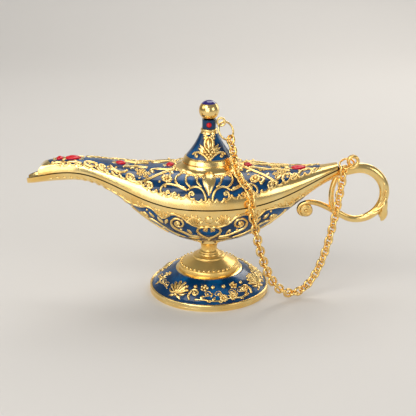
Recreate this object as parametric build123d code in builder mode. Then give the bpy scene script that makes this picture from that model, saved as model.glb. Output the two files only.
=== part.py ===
from build123d import *
import os
from math import asinh, cos, cosh, pi, radians, sin, sinh, sqrt

os.makedirs("parts", exist_ok=True)

# A cast and gilt oil lamp on a round foot: spout towards -X, loop handle towards +X.
# The origin is the centre of the foot's underside.  Lengths in millimetres, angles in degrees.

# Foot: hollow flared casting
foot_radius = 27.8
foot_edge_height = 1.2
foot_rim_width = 1.5
foot_rim_height = 2.8
foot_deck_radius = 14.6
foot_deck_height = 10.6
foot_slope_swell = 1.1
foot_wall = 2.0

# Dome that sits on the foot's deck
dome_margin = 0.5
dome_edge_height = 1.3
dome_height = 3.2
dome_top_radius = 7.6

# Stem between dome and bowl
stem_base_radius = 7.0
stem_base_height = 0.9
stem_step_radius = 5.5
stem_step_height = 1.0
stem_ring_radius = 4.7
stem_ring_height = 1.0
stem_neck_radius = 4.1
stem_waist_radius = 3.4
stem_waist_rise = 5.9
stem_top_radius = 4.9

# Screw that clamps foot, dome and stem to the bowl
screw_radius = 1.6
screw_clearance = 0.2
screw_head_radius = 3.3
screw_head_height = 1.8
screw_slot_width = 0.9
screw_slot_depth = 0.8
screw_engagement = 1.9
thread_gap = 0.05

# Bowl and cover: one boat-shaped body, parted along a rising rim
body_half_width = 23.0
body_rim_height = 46.2
keel_height = 25.0
plan_power = 1.35
rim_power = 3.3
keel_power = 2.5
hull_fullness = 0.56
bowl_wall = 1.4
bowl_seat_radius = 5.6
bowl_seat_drop = 1.2

# Spout end of the body
spout_length = 82.5
spout_half_width = 4.8
spout_rim_height = 58.2
spout_depth = 4.7
spout_plan_reach = 66.0
spout_rim_reach = 60.0
spout_keel_reach = 58.0
spout_droop = 3.2
spout_keel_droop = 1.8
lip_round_length = 6.0
lip_narrowing = 0.72

# Handle end of the body
heel_length = 59.0
heel_half_width = 3.2
heel_rim_height = 63.6
heel_depth = 7.1
heel_plan_reach = 60.0
heel_rim_reach = 80.0
heel_keel_reach = 68.0
bowl_hollow_reach = 51.0

# Cover: the whole upper shell lifts off
seam_gap = 0.6
cover_rise = 15.0
spout_crest_power = 1.8
heel_crest_power = 1.5
cover_fullness = 0.7
cover_wall = 2.0
cover_setback = 5.5
nose_front_height = 2.2
nose_length = 6.5
nose_bulge = 1.5
spout_crest_rise = 5.0
spout_crest_reach = 55.0
heel_crest_rise = 1.6
heel_crest_reach = 62.0
cover_end_gap = 1.0
cover_hollow_reach = 47.0
lip_clearance = 0.45
lip_thickness = 1.0
lip_depth = 1.6
lip_overlap = 1.2
lip_spout_reach = 40.0
lip_heel_reach = 36.0

# Collar and cone on the cover
collar_radius = 14.5
collar_edge_drop = 1.6
collar_skirt = 4.0
collar_neck_radius = 12.0
collar_flare_rise = 2.5
groove_depth = 0.5
groove_width = 0.5
collar_top_radius = 11.2
collar_neck_rise = 2.1
cone_base_radius = 10.9
cone_mid_radius = 5.9
cone_mid_rise = 6.8
cone_top_radius = 3.6
cone_rise = 11.7

# Neck and finial
band_radius = 3.75
band_width = 1.3
neck_radius = 3.1
neck_length = 4.1
ball_radius = 4.55
ball_seat = 0.45
cabochon_radius = 2.7
cabochon_seat = 0.5
neck_stone_radius = 1.15
neck_stone_rise = 2.0
neck_stone_depth = 1.0

# Stones along the ridge: place on the body, half length and half width
stone_sink = 0.6
stone_gap = 0.05
ridge_stones = {
    "spout_stone_large": (-61.4, 3.25, 1.75),
    "spout_stone_small": (-67.4, 1.3, 1.1),
    "shoulder_stone_spout": (-40.0, 2.0, 1.3),
    "collar_stone_spout": (-17.6, 1.5, 1.1),
    "collar_stone_heel": (17.6, 1.5, 1.1),
    "heel_stone_large": (40.6, 3.1, 1.7),
}

# Handle: a loop in the plane of symmetry that ends in a scroll under the bowl,
# its points given from its root at the heel
handle_root_drop = 6.4
handle_root_thickness = 4.4
handle_outer_thickness = 4.6
handle_low_thickness = 3.2
scroll_thickness = 2.6
scroll_end_thickness = 1.7
handle_flatness = 0.8
loop_end_pull = 1.0
crown_offset = (9.7, 1.6)
shoulder_offset = (18.0, -2.2)
outer_offset = (21.2, -9.4)
heel_offset = (17.6, -19.1)
low_offset = (8.6, -23.0)
dip_offset = (2.0, -20.9)
rise_offset = (-6.0, -16.6)
volute_offset = (-14.8, -18.7)
volute_radius = 3.6
volute_end_radius = 1.0
volute_turn = 300.0

# Strut between the bowl's heel and the scroll, and leaf on the loop's outer side
strut_thickness = 2.6
strut_top_offset = (-0.6, -2.2)
strut_bow_offset = (-3.0, -11.2)
strut_foot_offset = (-1.4, -19.3)
leaf_root_offset = (21.5, -11.2)
leaf_belly_offset = (21.3, -18.0)
leaf_tip_offset = (20.6, -23.8)
leaf_thickness = 3.4
leaf_width = 4.2
leaf_tip_size = 0.25

# Eyelet on the handle and the jump ring through it
eyelet_offset = (6.1, 5.1)
eyelet_front = 0.9
eyelet_radius = 2.9
eyelet_hole_radius = 1.45
eyelet_thickness = 1.4
handle_ring_radius = 3.2
handle_ring_wire = 0.9
handle_ring_way = (-0.92, -0.24, -0.31)
handle_ring_facing = (-0.22, -0.44, 0.87)

# Eyelet at the finial's neck and the ring that hangs in it
finial_eyelet_turn = -4.0
finial_eyelet_rise = 2.9
finial_eyelet_radius = 1.75
finial_eyelet_wire = 1.0
finial_eyelet_gap = 0.03
finial_ring_radius = 4.1
finial_ring_wire = 0.9
finial_ring_lean = 33.0
finial_ring_twist = 40.0
ring_slack = 0.2

# Chain: oval links of round wire, each turned a quarter turn to the next
link_wire = 0.9
link_inner_width = 2.4
link_inner_length = 3.1
link_slack = 0.3
link_bends = 5
wire_sides = 6
hanging_links = 42
draped_links = 14
edge_slack = 0.3
drape_height = 2.4
drape_edge = 18.0
drape_edge_rise = 6.4
drape_edge_share = 0.7
drape_flank_place = 14.6
drape_flank_across = 0.905
drape_flank_rise = 0.84
drape_collar_turn = -46.0
drape_cone_turn = -33.0


# Body form

def share(x, reach):
    return min(abs(x) / reach, 1.0)


def swell(x, middle, end, reach, power):
    return end + (middle - end) * cos(pi / 2 * share(x, reach)) ** power


def climb(x, middle, end, reach, power):
    return middle + (end - middle) * sin(pi / 2 * share(x, reach)) ** power


def beyond(x, reach):
    return min(max(-x - reach, 0.0) / (spout_length - reach), 1.0)


def half_width(x):
    if x > 0:
        return swell(x, body_half_width, heel_half_width, heel_plan_reach, plan_power)
    width = swell(x, body_half_width, spout_half_width, spout_plan_reach, plan_power)
    return width * sqrt(1 - lip_narrowing * beyond(x, spout_length - lip_round_length) ** 2)


def rim_level(x):
    if x > 0:
        return climb(x, body_rim_height, heel_rim_height, heel_rim_reach, rim_power)
    level = climb(x, body_rim_height, spout_rim_height, spout_rim_reach, rim_power)
    return level - spout_droop * beyond(x, spout_rim_reach) ** 2


spout_keel_height = spout_rim_height - spout_depth
heel_keel_height = heel_rim_height - heel_depth


def keel_level(x):
    if x > 0:
        return climb(x, keel_height, heel_keel_height, heel_keel_reach, keel_power)
    level = climb(x, keel_height, spout_keel_height, spout_keel_reach, keel_power)
    return level - spout_keel_droop * beyond(x, spout_keel_reach) ** 2


def crest_rise(x):
    if x > 0:
        return swell(x, cover_rise, heel_crest_rise, heel_crest_reach, heel_crest_power)
    return swell(x, cover_rise, spout_crest_rise, spout_crest_reach, spout_crest_power)


def stations(start, end, count):
    return [start + (end - start) * i / count for i in range(count + 1)]


def across(x, level):
    return Plane(origin=(x, 0, level), x_dir=(0, 1, 0), z_dir=(1, 0, 0))


def half_moon(width, height, fullness, skirt):
    # closed section: straight base, optional straight skirt, two swelling flanks that meet on the ridge
    with BuildLine() as outline:
        Bezier((width, 0), (width, height * fullness), (width * fullness, height), (0, height))
        Bezier((0, height), (-width * fullness, height), (-width, height * fullness), (-width, 0))
        if skirt:
            Polyline((-width, 0), (-width, skirt), (width, skirt), (width, 0))
        else:
            Line((-width, 0), (width, 0))
    return outline.edges()


bowl_top = -seam_gap / 2
cover_base = seam_gap / 2
cover_heel = heel_length - cover_end_gap
cover_nose = spout_length - cover_setback


def crest_level(x):
    return rim_level(x) + cover_base + crest_rise(x)


# Heights of what stands on the cover's crown
collar_edge_height = crest_level(0) - collar_edge_drop
collar_neck_height = collar_edge_height + collar_flare_rise
collar_top_height = collar_neck_height + collar_neck_rise
cone_mid_height = collar_top_height + cone_mid_rise
band_height = collar_top_height + cone_rise
band_top = band_height + band_width
neck_top_height = band_top + neck_length
ball_height = neck_top_height + ball_radius - ball_seat
neck_stone_height = band_top + neck_stone_rise
finial_eyelet_height = band_top + finial_eyelet_rise


# Places on the handle, from its root
handle_root_height = heel_rim_height - handle_root_drop


def from_root(offset):
    return (heel_length + offset[0], handle_root_height + offset[1])


handle_root = from_root((0, 0))
handle_low = from_root(low_offset)
volute_centre = from_root(volute_offset)
eyelet_side = from_root(eyelet_offset)
eyelet_place = (eyelet_side[0], -eyelet_front, eyelet_side[1])

# Foot
deck_floor = foot_deck_height - foot_wall
rim_top_radius = foot_radius - foot_rim_width
slope_middle = (
    (rim_top_radius + foot_deck_radius) / 2 + foot_slope_swell / 2,
    (foot_rim_height + foot_deck_height) / 2 + foot_slope_swell,
)
with BuildPart() as foot:
    with BuildSketch(Plane.XZ):
        with BuildLine():
            Polyline(
                (screw_radius + screw_clearance, foot_deck_height),
                (screw_radius + screw_clearance, deck_floor),
                (foot_deck_radius - foot_wall, deck_floor),
            )
            ThreePointArc(
                (foot_deck_radius - foot_wall, deck_floor),
                (slope_middle[0] - foot_wall, slope_middle[1] - foot_wall),
                (rim_top_radius - foot_wall, 0),
            )
            Polyline(
                (rim_top_radius - foot_wall, 0),
                (foot_radius, 0),
                (foot_radius, foot_edge_height),
                (rim_top_radius, foot_rim_height),
            )
            ThreePointArc(
                (rim_top_radius, foot_rim_height),
                slope_middle,
                (foot_deck_radius, foot_deck_height),
            )
            Line((foot_deck_radius, foot_deck_height), (screw_radius + screw_clearance, foot_deck_height))
        make_face()
    revolve(axis=Axis.Z)
foot.part.label = "foot"
export_step(foot.part, "parts/foot.step")

# Dome on the foot
dome_radius = foot_deck_radius - dome_margin
dome_shoulder = foot_deck_height + dome_edge_height
dome_top = foot_deck_height + dome_height
with BuildPart() as foot_dome:
    with BuildSketch(Plane.XZ):
        with BuildLine():
            Polyline(
                (dome_top_radius, dome_top),
                (screw_radius + screw_clearance, dome_top),
                (screw_radius + screw_clearance, foot_deck_height),
                (dome_radius, foot_deck_height),
                (dome_radius, dome_shoulder),
            )
            Bezier(
                (dome_radius, dome_shoulder),
                (dome_radius - dome_margin, dome_top),
                (dome_top_radius + dome_height, dome_top),
                (dome_top_radius, dome_top),
            )
        make_face()
    revolve(axis=Axis.Z)
foot_dome.part.label = "foot_dome"
export_step(foot_dome.part, "parts/foot_dome.step")

# Stem
stem_top = keel_height - bowl_seat_drop
stem_step = dome_top + stem_base_height
stem_ring = stem_step + stem_step_height
stem_neck = stem_ring + stem_ring_height
stem_waist = dome_top + stem_waist_rise
with BuildPart() as stem:
    with BuildSketch(Plane.XZ):
        with BuildLine():
            Polyline(
                (stem_top_radius, stem_top),
                (screw_radius + screw_clearance, stem_top),
                (screw_radius + screw_clearance, dome_top),
                (stem_base_radius, dome_top),
                (stem_base_radius, stem_step),
                (stem_step_radius, stem_step),
                (stem_step_radius, stem_ring),
                (stem_neck_radius, stem_ring),
            )
            ThreePointArc(
                (stem_neck_radius, stem_ring),
                (stem_ring_radius, (stem_ring + stem_neck) / 2),
                (stem_neck_radius, stem_neck),
            )
            Spline(
                (stem_neck_radius, stem_neck),
                (stem_waist_radius, stem_waist),
                (stem_top_radius, stem_top),
                tangents=((-0.5, 1.0), (0.8, 1.0)),
            )
        make_face()
    revolve(axis=Axis.Z)
stem.part.label = "stem"
export_step(stem.part, "parts/stem.step")

# Screw with a slotted head under the deck
screw_top = stem_top + screw_engagement
head_floor = deck_floor - screw_head_height
with BuildPart() as stem_screw:
    with BuildSketch(Plane.XY.offset(head_floor)):
        Circle(screw_head_radius)
    extrude(amount=screw_head_height)
    with BuildSketch(Plane.XY.offset(deck_floor)):
        Circle(screw_radius)
    extrude(amount=screw_top - deck_floor)
    with BuildSketch(Plane.XY.offset(head_floor)):
        Rectangle(2 * screw_head_radius, screw_slot_width)
    extrude(amount=screw_slot_depth, mode=Mode.SUBTRACT)
stem_screw.part.label = "stem_screw"
export_step(stem_screw.part, "parts/stem_screw.step")

# Bowl: lower shell with the open spout lip
with BuildPart() as bowl_form:
    for x in stations(-spout_length, heel_length, 18):
        with BuildSketch(across(x, rim_level(x) + bowl_top)):
            height = keel_level(x) - rim_level(x) - bowl_top
            make_face(half_moon(half_width(x), height, hull_fullness, 0))
    loft()

with BuildPart() as bowl:
    add(bowl_form.part)
    with BuildSketch(Plane.XY.offset(stem_top)):
        Circle(bowl_seat_radius)
    extrude(amount=bowl_seat_drop + bowl_wall)
    for x in stations(-spout_length - bowl_wall, bowl_hollow_reach, 16):
        with BuildSketch(across(x, rim_level(x) + bowl_top)):
            height = keel_level(x) - rim_level(x) - bowl_top + bowl_wall
            make_face(half_moon(half_width(x) - bowl_wall, height, hull_fullness, bowl_wall))
    loft(mode=Mode.SUBTRACT)
    with BuildSketch(Plane.XY.offset(stem_top)):
        Circle(bowl_seat_radius)
    extrude(amount=screw_engagement + bowl_wall)
    with BuildSketch(Plane.XY.offset(stem_top)):
        Circle(screw_radius + thread_gap)
    extrude(amount=screw_engagement, mode=Mode.SUBTRACT)
bowl.part.label = "bowl"
export_step(bowl.part, "parts/bowl.step")

# Cover: outer form first, because collar and stones seat on it
nose_base = rim_level(-cover_nose) + cover_base
nose_crest = crest_level(nose_length - cover_nose)
with BuildPart() as cover_form:
    for x in stations(-cover_nose, cover_heel, 17):
        with BuildSketch(across(x, rim_level(x) + cover_base)):
            make_face(half_moon(half_width(x), crest_rise(x), cover_fullness, 0))
    loft()
    with BuildSketch(Plane.XZ):
        with BuildLine():
            ThreePointArc(
                (-cover_nose, nose_base + nose_front_height),
                (nose_length / 3 - cover_nose, nose_crest - nose_bulge),
                (nose_length - cover_nose, nose_crest),
            )
            Polyline(
                (nose_length - cover_nose, nose_crest),
                (nose_length - cover_nose, nose_crest + nose_length),
                (-cover_nose - nose_length, nose_crest + nose_length),
                (-cover_nose - nose_length, nose_base + nose_front_height),
                (-cover_nose, nose_base + nose_front_height),
            )
        make_face()
    extrude(amount=body_half_width, both=True, mode=Mode.SUBTRACT)

lip_inset = bowl_wall + lip_clearance
with BuildPart() as cover_lip:
    for x in stations(-lip_spout_reach, lip_heel_reach, 10):
        with BuildSketch(across(x, rim_level(x) + cover_base)):
            with Locations((0, (lip_overlap - lip_depth - seam_gap) / 2)):
                Rectangle(2 * (half_width(x) - lip_inset), lip_overlap + lip_depth + seam_gap)
    loft()
    for x in stations(lip_thickness - lip_spout_reach, lip_heel_reach - lip_thickness, 10):
        with BuildSketch(across(x, rim_level(x) + cover_base)):
            width = half_width(x) - lip_inset - lip_thickness
            Rectangle(2 * width, 4 * (lip_overlap + lip_depth))
    loft(mode=Mode.SUBTRACT)

with BuildPart() as cover:
    add(cover_form.part)
    for x in stations(-cover_nose - cover_wall, cover_hollow_reach, 14):
        with BuildSketch(across(x, rim_level(x) + cover_base)):
            width = half_width(x) - cover_wall
            height = crest_rise(x) - cover_wall
            make_face(half_moon(width, height, cover_fullness, -cover_wall))
    loft(mode=Mode.SUBTRACT)
    add(cover_lip.part)
    for place, half_length, half_across in ridge_stones.values():
        with BuildSketch(Plane.XY.offset(crest_level(place) - stone_sink)):
            with Locations((place, 0)):
                Ellipse(half_length + stone_gap, half_across + stone_gap)
        extrude(amount=cover_rise, mode=Mode.SUBTRACT)
cover.part.label = "cover"
export_step(cover.part, "parts/cover.step")

# Stones in pockets on the ridge
for stone_name, (place, half_length, half_across) in ridge_stones.items():
    stone_floor = crest_level(place) - stone_sink
    stretch = half_length / half_across
    with BuildPart() as stone:
        with Locations((place / stretch, 0, stone_floor)):
            Sphere(half_across, arc_size1=0, align=(Align.CENTER, Align.CENTER, Align.MIN))
        scale(by=(stretch, 1, 1))
    stone.part.label = stone_name
    export_step(stone.part, f"parts/{stone_name}.step")

# Collar, cut underneath to the cover's crown
with BuildPart() as collar:
    with BuildSketch(Plane.XZ):
        with BuildLine():
            Polyline(
                (collar_neck_radius, collar_neck_height),
                (collar_neck_radius - groove_depth, collar_neck_height),
                (collar_neck_radius - groove_depth, collar_neck_height + groove_width),
                (collar_neck_radius, collar_neck_height + groove_width),
                (collar_top_radius, collar_top_height),
                (0, collar_top_height),
                (0, collar_edge_height - collar_skirt),
                (collar_radius, collar_edge_height - collar_skirt),
                (collar_radius, collar_edge_height),
            )
            ThreePointArc(
                (collar_radius, collar_edge_height),
                ((collar_radius + collar_neck_radius) / 2 - groove_depth / 2,
                 (collar_edge_height + collar_neck_height) / 2 - groove_depth / 2),
                (collar_neck_radius, collar_neck_height),
            )
        make_face()
    revolve(axis=Axis.Z)
    add(cover_form.part, mode=Mode.SUBTRACT)
collar.part.label = "collar"
export_step(collar.part, "parts/collar.step")

# Cone: a concave trumpet
with BuildPart() as cone:
    with BuildSketch(Plane.XZ):
        with BuildLine():
            Spline(
                (cone_base_radius, collar_top_height),
                (cone_mid_radius, cone_mid_height),
                (cone_top_radius, band_height),
            )
            Polyline(
                (cone_top_radius, band_height),
                (0, band_height),
                (0, collar_top_height),
                (cone_base_radius, collar_top_height),
            )
        make_face()
    revolve(axis=Axis.Z)
cone.part.label = "cone"
export_step(cone.part, "parts/cone.step")

# Rounded band above the cone
with BuildPart() as neck_band:
    with BuildSketch(Plane.XY.offset(band_height)):
        Circle(band_radius)
    extrude(amount=band_width)
    fillet(neck_band.edges(), band_width / 3)
neck_band.part.label = "neck_band"
export_step(neck_band.part, "parts/neck_band.step")

# Ball with a flat seat for the cabochon
cabochon_level = ball_height + sqrt(ball_radius ** 2 - cabochon_radius ** 2)
with BuildPart() as finial_ball:
    with Locations((0, 0, ball_height)):
        Sphere(ball_radius)
    split(bisect_by=Plane.XY.offset(cabochon_level - cabochon_seat), keep=Keep.BOTTOM)
finial_ball.part.label = "finial_ball"

# Neck between band and ball, with a socket for its stone
stone_front = neck_radius - neck_stone_depth / 2
with BuildPart() as neck:
    with BuildSketch(Plane.XY.offset(band_top)):
        Circle(neck_radius)
    extrude(amount=neck_top_height - band_top)
    add(finial_ball.part, mode=Mode.SUBTRACT)
    with BuildSketch(Plane.XZ.offset(stone_front)):
        with Locations((0, neck_stone_height)):
            Circle(neck_stone_radius + stone_gap)
    extrude(amount=neck_radius, mode=Mode.SUBTRACT)
neck.part.label = "neck"
export_step(neck.part, "parts/neck.step")
export_step(finial_ball.part, "parts/finial_ball.step")

with BuildPart() as neck_stone:
    with Locations((0, -stone_front, neck_stone_height)):
        Sphere(neck_stone_radius)
    split(bisect_by=Plane.XZ.offset(stone_front))
neck_stone.part.label = "neck_stone"
export_step(neck_stone.part, "parts/neck_stone.step")

with BuildPart() as finial_cabochon:
    with Locations((0, 0, ball_height)):
        Sphere(ball_radius)
    split(bisect_by=Plane.XY.offset(cabochon_level - cabochon_seat))
finial_cabochon.part.label = "finial_cabochon"
export_step(finial_cabochon.part, "parts/finial_cabochon.step")


# Handle loop: oval sections along a curve in the plane of symmetry
def bar_plane(point, tangent):
    return Plane(origin=point, x_dir=(0, 1, 0), z_dir=tangent)


with BuildPart() as handle_loop:
    with BuildLine(Plane.XZ) as loop_path:
        Spline(
            handle_root,
            from_root(crown_offset),
            from_root(shoulder_offset),
            from_root(outer_offset),
            from_root(heel_offset),
            handle_low,
            tangents=((1, 0), (-1, 0)),
            tangent_scalars=(loop_end_pull, loop_end_pull),
        )
    loop_line = loop_path.edge()
    for u, thick in ((0, handle_root_thickness), (0.5, handle_outer_thickness), (1, handle_low_thickness)):
        with BuildSketch(bar_plane(loop_line.position_at(u), loop_line.tangent_at(u))):
            Ellipse(thick * handle_flatness / 2, thick / 2)
    sweep(multisection=True)
handle_loop.part.label = "handle_loop"
export_step(handle_loop.part, "parts/handle_loop.step")


# Scroll: goes on from the loop and winds into a volute under the bowl
def volute_point(turn):
    radius = volute_radius + (volute_end_radius - volute_radius) * turn / volute_turn
    angle = radians(90 + turn)
    return (volute_centre[0] + radius * cos(angle), volute_centre[1] + radius * sin(angle))


with BuildPart() as handle_scroll:
    with BuildLine(Plane.XZ) as scroll_path:
        Spline(
            handle_low,
            from_root(dip_offset),
            from_root(rise_offset),
            *[volute_point(turn) for turn in stations(0, volute_turn, 6)],
            tangents=((-1, 0), (cos(radians(180 + volute_turn)), sin(radians(180 + volute_turn)))),
        )
    scroll_line = scroll_path.edge()
    for u, thick in ((0, handle_low_thickness), (0.5, scroll_thickness), (1, scroll_end_thickness)):
        with BuildSketch(bar_plane(scroll_line.position_at(u), scroll_line.tangent_at(u))):
            Ellipse(thick * handle_flatness / 2, thick / 2)
    sweep(multisection=True)
    add(bowl_form.part, mode=Mode.SUBTRACT)
handle_scroll.part.label = "handle_scroll"
export_step(handle_scroll.part, "parts/handle_scroll.step")

# Strut, coped to the bowl and the scroll
with BuildPart() as handle_strut:
    with BuildLine(Plane.XZ) as strut_path:
        ThreePointArc(from_root(strut_top_offset), from_root(strut_bow_offset), from_root(strut_foot_offset))
    with BuildSketch(bar_plane(strut_path.edge().position_at(0), strut_path.edge().tangent_at(0))):
        Circle(strut_thickness / 2)
    sweep()
    add(bowl_form.part, mode=Mode.SUBTRACT)
    add(handle_loop.part, mode=Mode.SUBTRACT)
    add(handle_scroll.part, mode=Mode.SUBTRACT)
handle_strut.part.label = "handle_strut"
export_step(handle_strut.part, "parts/handle_strut.step")

# Leaf on the outside of the loop, with a free tip
with BuildPart() as handle_leaf:
    with BuildLine(Plane.XZ) as leaf_path:
        ThreePointArc(from_root(leaf_root_offset), from_root(leaf_belly_offset), from_root(leaf_tip_offset))
    leaf_line = leaf_path.edge()
    for u, size in ((0, 0.35), (0.35, 1), (0.7, 0.85), (1, leaf_tip_size)):
        with BuildSketch(bar_plane(leaf_line.position_at(u), leaf_line.tangent_at(u))):
            Ellipse(leaf_width * size / 2, leaf_thickness * size / 2)
    sweep(multisection=True)
    add(handle_loop.part, mode=Mode.SUBTRACT)
handle_leaf.part.label = "handle_leaf"
export_step(handle_leaf.part, "parts/handle_leaf.step")

# Eyelet on the handle's crown
with BuildPart() as handle_eyelet:
    with BuildSketch(Plane.XZ.offset(-eyelet_place[1] - eyelet_thickness / 2)):
        with Locations((eyelet_place[0], eyelet_place[2])):
            Circle(eyelet_radius)
            Circle(eyelet_hole_radius, mode=Mode.SUBTRACT)
    extrude(amount=eyelet_thickness)
    add(handle_loop.part, mode=Mode.SUBTRACT)
handle_eyelet.part.label = "handle_eyelet"
export_step(handle_eyelet.part, "parts/handle_eyelet.step")

# Jump ring through the handle's eyelet
handle_ring_centre = Vector(eyelet_place) + Vector(handle_ring_way).normalized() * handle_ring_radius
with BuildPart(Plane(origin=handle_ring_centre, z_dir=handle_ring_facing)) as handle_ring:
    Torus(handle_ring_radius, handle_ring_wire / 2)
handle_ring.part.label = "handle_ring"
export_step(handle_ring.part, "parts/handle_ring.step")

# Eyelet at the neck, in a plane through the axis
eyelet_turn = radians(finial_eyelet_turn)
outward = Vector(cos(eyelet_turn), sin(eyelet_turn), 0)
sideways = Vector(-sin(eyelet_turn), cos(eyelet_turn), 0)
finial_eyelet_reach = neck_radius + finial_eyelet_radius + finial_eyelet_wire / 2 + finial_eyelet_gap
finial_eyelet_centre = outward * finial_eyelet_reach + Vector(0, 0, finial_eyelet_height)
with BuildPart() as finial_eyelet:
    with Locations(Plane(origin=finial_eyelet_centre, z_dir=sideways)):
        Torus(finial_eyelet_radius, finial_eyelet_wire / 2)
finial_eyelet.part.label = "finial_eyelet"
export_step(finial_eyelet.part, "parts/finial_eyelet.step")

# Ring that hangs in the neck's eyelet and leans out over the cone
lean = radians(finial_ring_lean)
twist = radians(finial_ring_twist)
hang = outward * sin(lean) - Vector(0, 0, cos(lean))
level_out = outward * cos(lean) + Vector(0, 0, sin(lean))
ring_side = sideways * cos(twist) + level_out * sin(twist)
ring_lift = finial_eyelet_radius - finial_eyelet_wire / 2 - finial_ring_wire / 2 - ring_slack
finial_ring_top = finial_eyelet_centre - Vector(0, 0, ring_lift)
finial_ring_centre = finial_ring_top + hang * finial_ring_radius
with BuildPart(Plane(origin=finial_ring_centre, x_dir=ring_side, z_dir=hang.cross(ring_side))) as finial_ring:
    Torus(finial_ring_radius, finial_ring_wire / 2)
finial_ring.part.label = "finial_ring"
export_step(finial_ring.part, "parts/finial_ring.step")

# One chain link: faceted wire round an oval
link_pitch = link_inner_length - link_slack
bend_radius = (link_inner_width + link_wire) / 2
straight_half = (link_inner_length + link_wire) / 2 - bend_radius
right_end = [
    (straight_half + bend_radius * cos(a), bend_radius * sin(a))
    for a in stations(-pi / 2, pi / 2, link_bends)
]
left_end = [(-x, -y) for x, y in right_end]
with BuildPart() as link:
    with BuildLine():
        Polyline((0, -bend_radius), *right_end, *left_end, close=True)
    with BuildSketch(Plane(origin=(0, -bend_radius, 0), x_dir=(0, 1, 0), z_dir=(1, 0, 0))):
        RegularPolygon(link_wire / 2, wire_sides)
    sweep(transition=Transition.RIGHT)

# Hanging stretch: a catenary of whole links from the handle's ring to the cover's edge
ring_normal = Vector(handle_ring_facing).normalized()
ring_fall = (Vector(0, 0, -1) + ring_normal * ring_normal.Z).normalized()
link_grip = (link_wire + link_slack) / 2
hang_start = handle_ring_centre + ring_fall * handle_ring_radius + Vector(0, 0, link_grip)
edge_step = 0.5
edge_run = Vector(edge_step, half_width(drape_edge) - half_width(drape_edge + edge_step), 0).normalized()
edge_out = Vector(-edge_run.Y, edge_run.X, 0) * -1
edge_point = Vector(drape_edge, -half_width(drape_edge), rim_level(drape_edge))
hang_end = edge_point + edge_out * drape_height
span_way = Vector(hang_end.X - hang_start.X, hang_end.Y - hang_start.Y, 0)
span = span_way.length
span_way = span_way.normalized()
drop = hang_end.Z - hang_start.Z
hang_length = hanging_links * link_pitch
chord = sqrt(hang_length ** 2 - drop ** 2)
low_a = span / 100
high_a = span * 100
for _ in range(100):
    catenary = (low_a + high_a) / 2
    if span / (2 * catenary) > 600 or 2 * catenary * sinh(span / (2 * catenary)) > chord:
        low_a = catenary
    else:
        high_a = catenary
lowest = span / 2 - catenary * asinh(drop / (2 * catenary * sinh(span / (2 * catenary))))


def hanging_point(length):
    reach = catenary * asinh(length / catenary - sinh(lowest / catenary)) + lowest
    level = catenary * (cosh((reach - lowest) / catenary) - cosh(lowest / catenary))
    return hang_start + span_way * reach + Vector(0, 0, level)


def link_place(first, last, spread):
    # a link between two points of the chain, its width along spread
    axis = (last - first).normalized()
    return Plane(origin=(first + last) * 0.5, x_dir=axis, z_dir=axis.cross(spread)).location


hang_normal = Vector(0, 0, 1).cross(span_way)
hanging_points = [hanging_point(i * link_pitch) for i in range(hanging_links + 1)]
hanging_places = []
for i in range(hanging_links):
    axis = (hanging_points[i + 1] - hanging_points[i]).normalized()
    spread = hang_normal if i % 2 else axis.cross(hang_normal)
    hanging_places.append(link_place(hanging_points[i], hanging_points[i + 1], spread))

with BuildPart() as hanging_chain:
    with Locations(*hanging_places):
        add(link.part)
hanging_chain.part.label = "hanging_links"
export_step(hanging_chain.part, "parts/hanging_links.step")

# Draped stretch: from the cover's edge over cover and collar up to the finial's ring
drape_top = finial_ring_top + hang * (2 * finial_ring_radius - link_grip)


def polar(radius, turn, level):
    return Vector(radius * cos(radians(turn)), radius * sin(radians(turn)), level)


flank_level = rim_level(drape_flank_place) + cover_base + crest_rise(drape_flank_place) * drape_flank_rise
collar_pass = polar(collar_radius + drape_height, drape_collar_turn, collar_edge_height + drape_height)
cone_pass = polar(collar_top_radius + drape_height * 0.9, drape_cone_turn, collar_top_height + drape_height * 0.4)
with BuildLine() as drape_path:
    Spline(
        hang_end - Vector(0, 0, edge_slack),
        edge_point + edge_out * drape_height * drape_edge_share + Vector(0, 0, drape_edge_rise),
        Vector(drape_flank_place, -half_width(drape_flank_place) * drape_flank_across, flank_level),
        collar_pass,
        cone_pass,
        drape_top,
        tangents=((0, 0, 1), drape_top - cone_pass),
    )
drape_line = drape_path.edge()
drape_points = [drape_line.position_at(i / draped_links) for i in range(draped_links + 1)]
drape_places = []
for i in range(draped_links):
    axis = (drape_points[i + 1] - drape_points[i]).normalized()
    middle = (drape_points[i] + drape_points[i + 1]) * 0.5
    away = Vector(middle.X, middle.Y, 0).normalized() + Vector(0, 0, 1)
    flat = axis.cross(away).normalized()
    spread = axis.cross(flat) if i % 2 else flat
    drape_places.append(link_place(drape_points[i], drape_points[i + 1], spread))

with BuildPart() as draped_chain:
    with Locations(*drape_places):
        add(link.part)
draped_chain.part.label = "draped_links"
export_step(draped_chain.part, "parts/draped_links.step")

print("catenary", round(catenary, 2), "lowest", round(min(p.Z for p in hanging_points), 2))
print("drape length", round(drape_line.length, 2), "per link", round(drape_line.length / draped_links, 3))
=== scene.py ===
"""Looks of a gilt oil lamp with blue enamel, red stones and a chained cover."""

import math
from functools import lru_cache
from typing import NamedTuple

import bmesh
import bpy
import numpy as np
from bpy.props import FloatProperty, FloatVectorProperty, IntProperty, PointerProperty
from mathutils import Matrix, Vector
from mathutils.bvhtree import BVHTree


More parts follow.
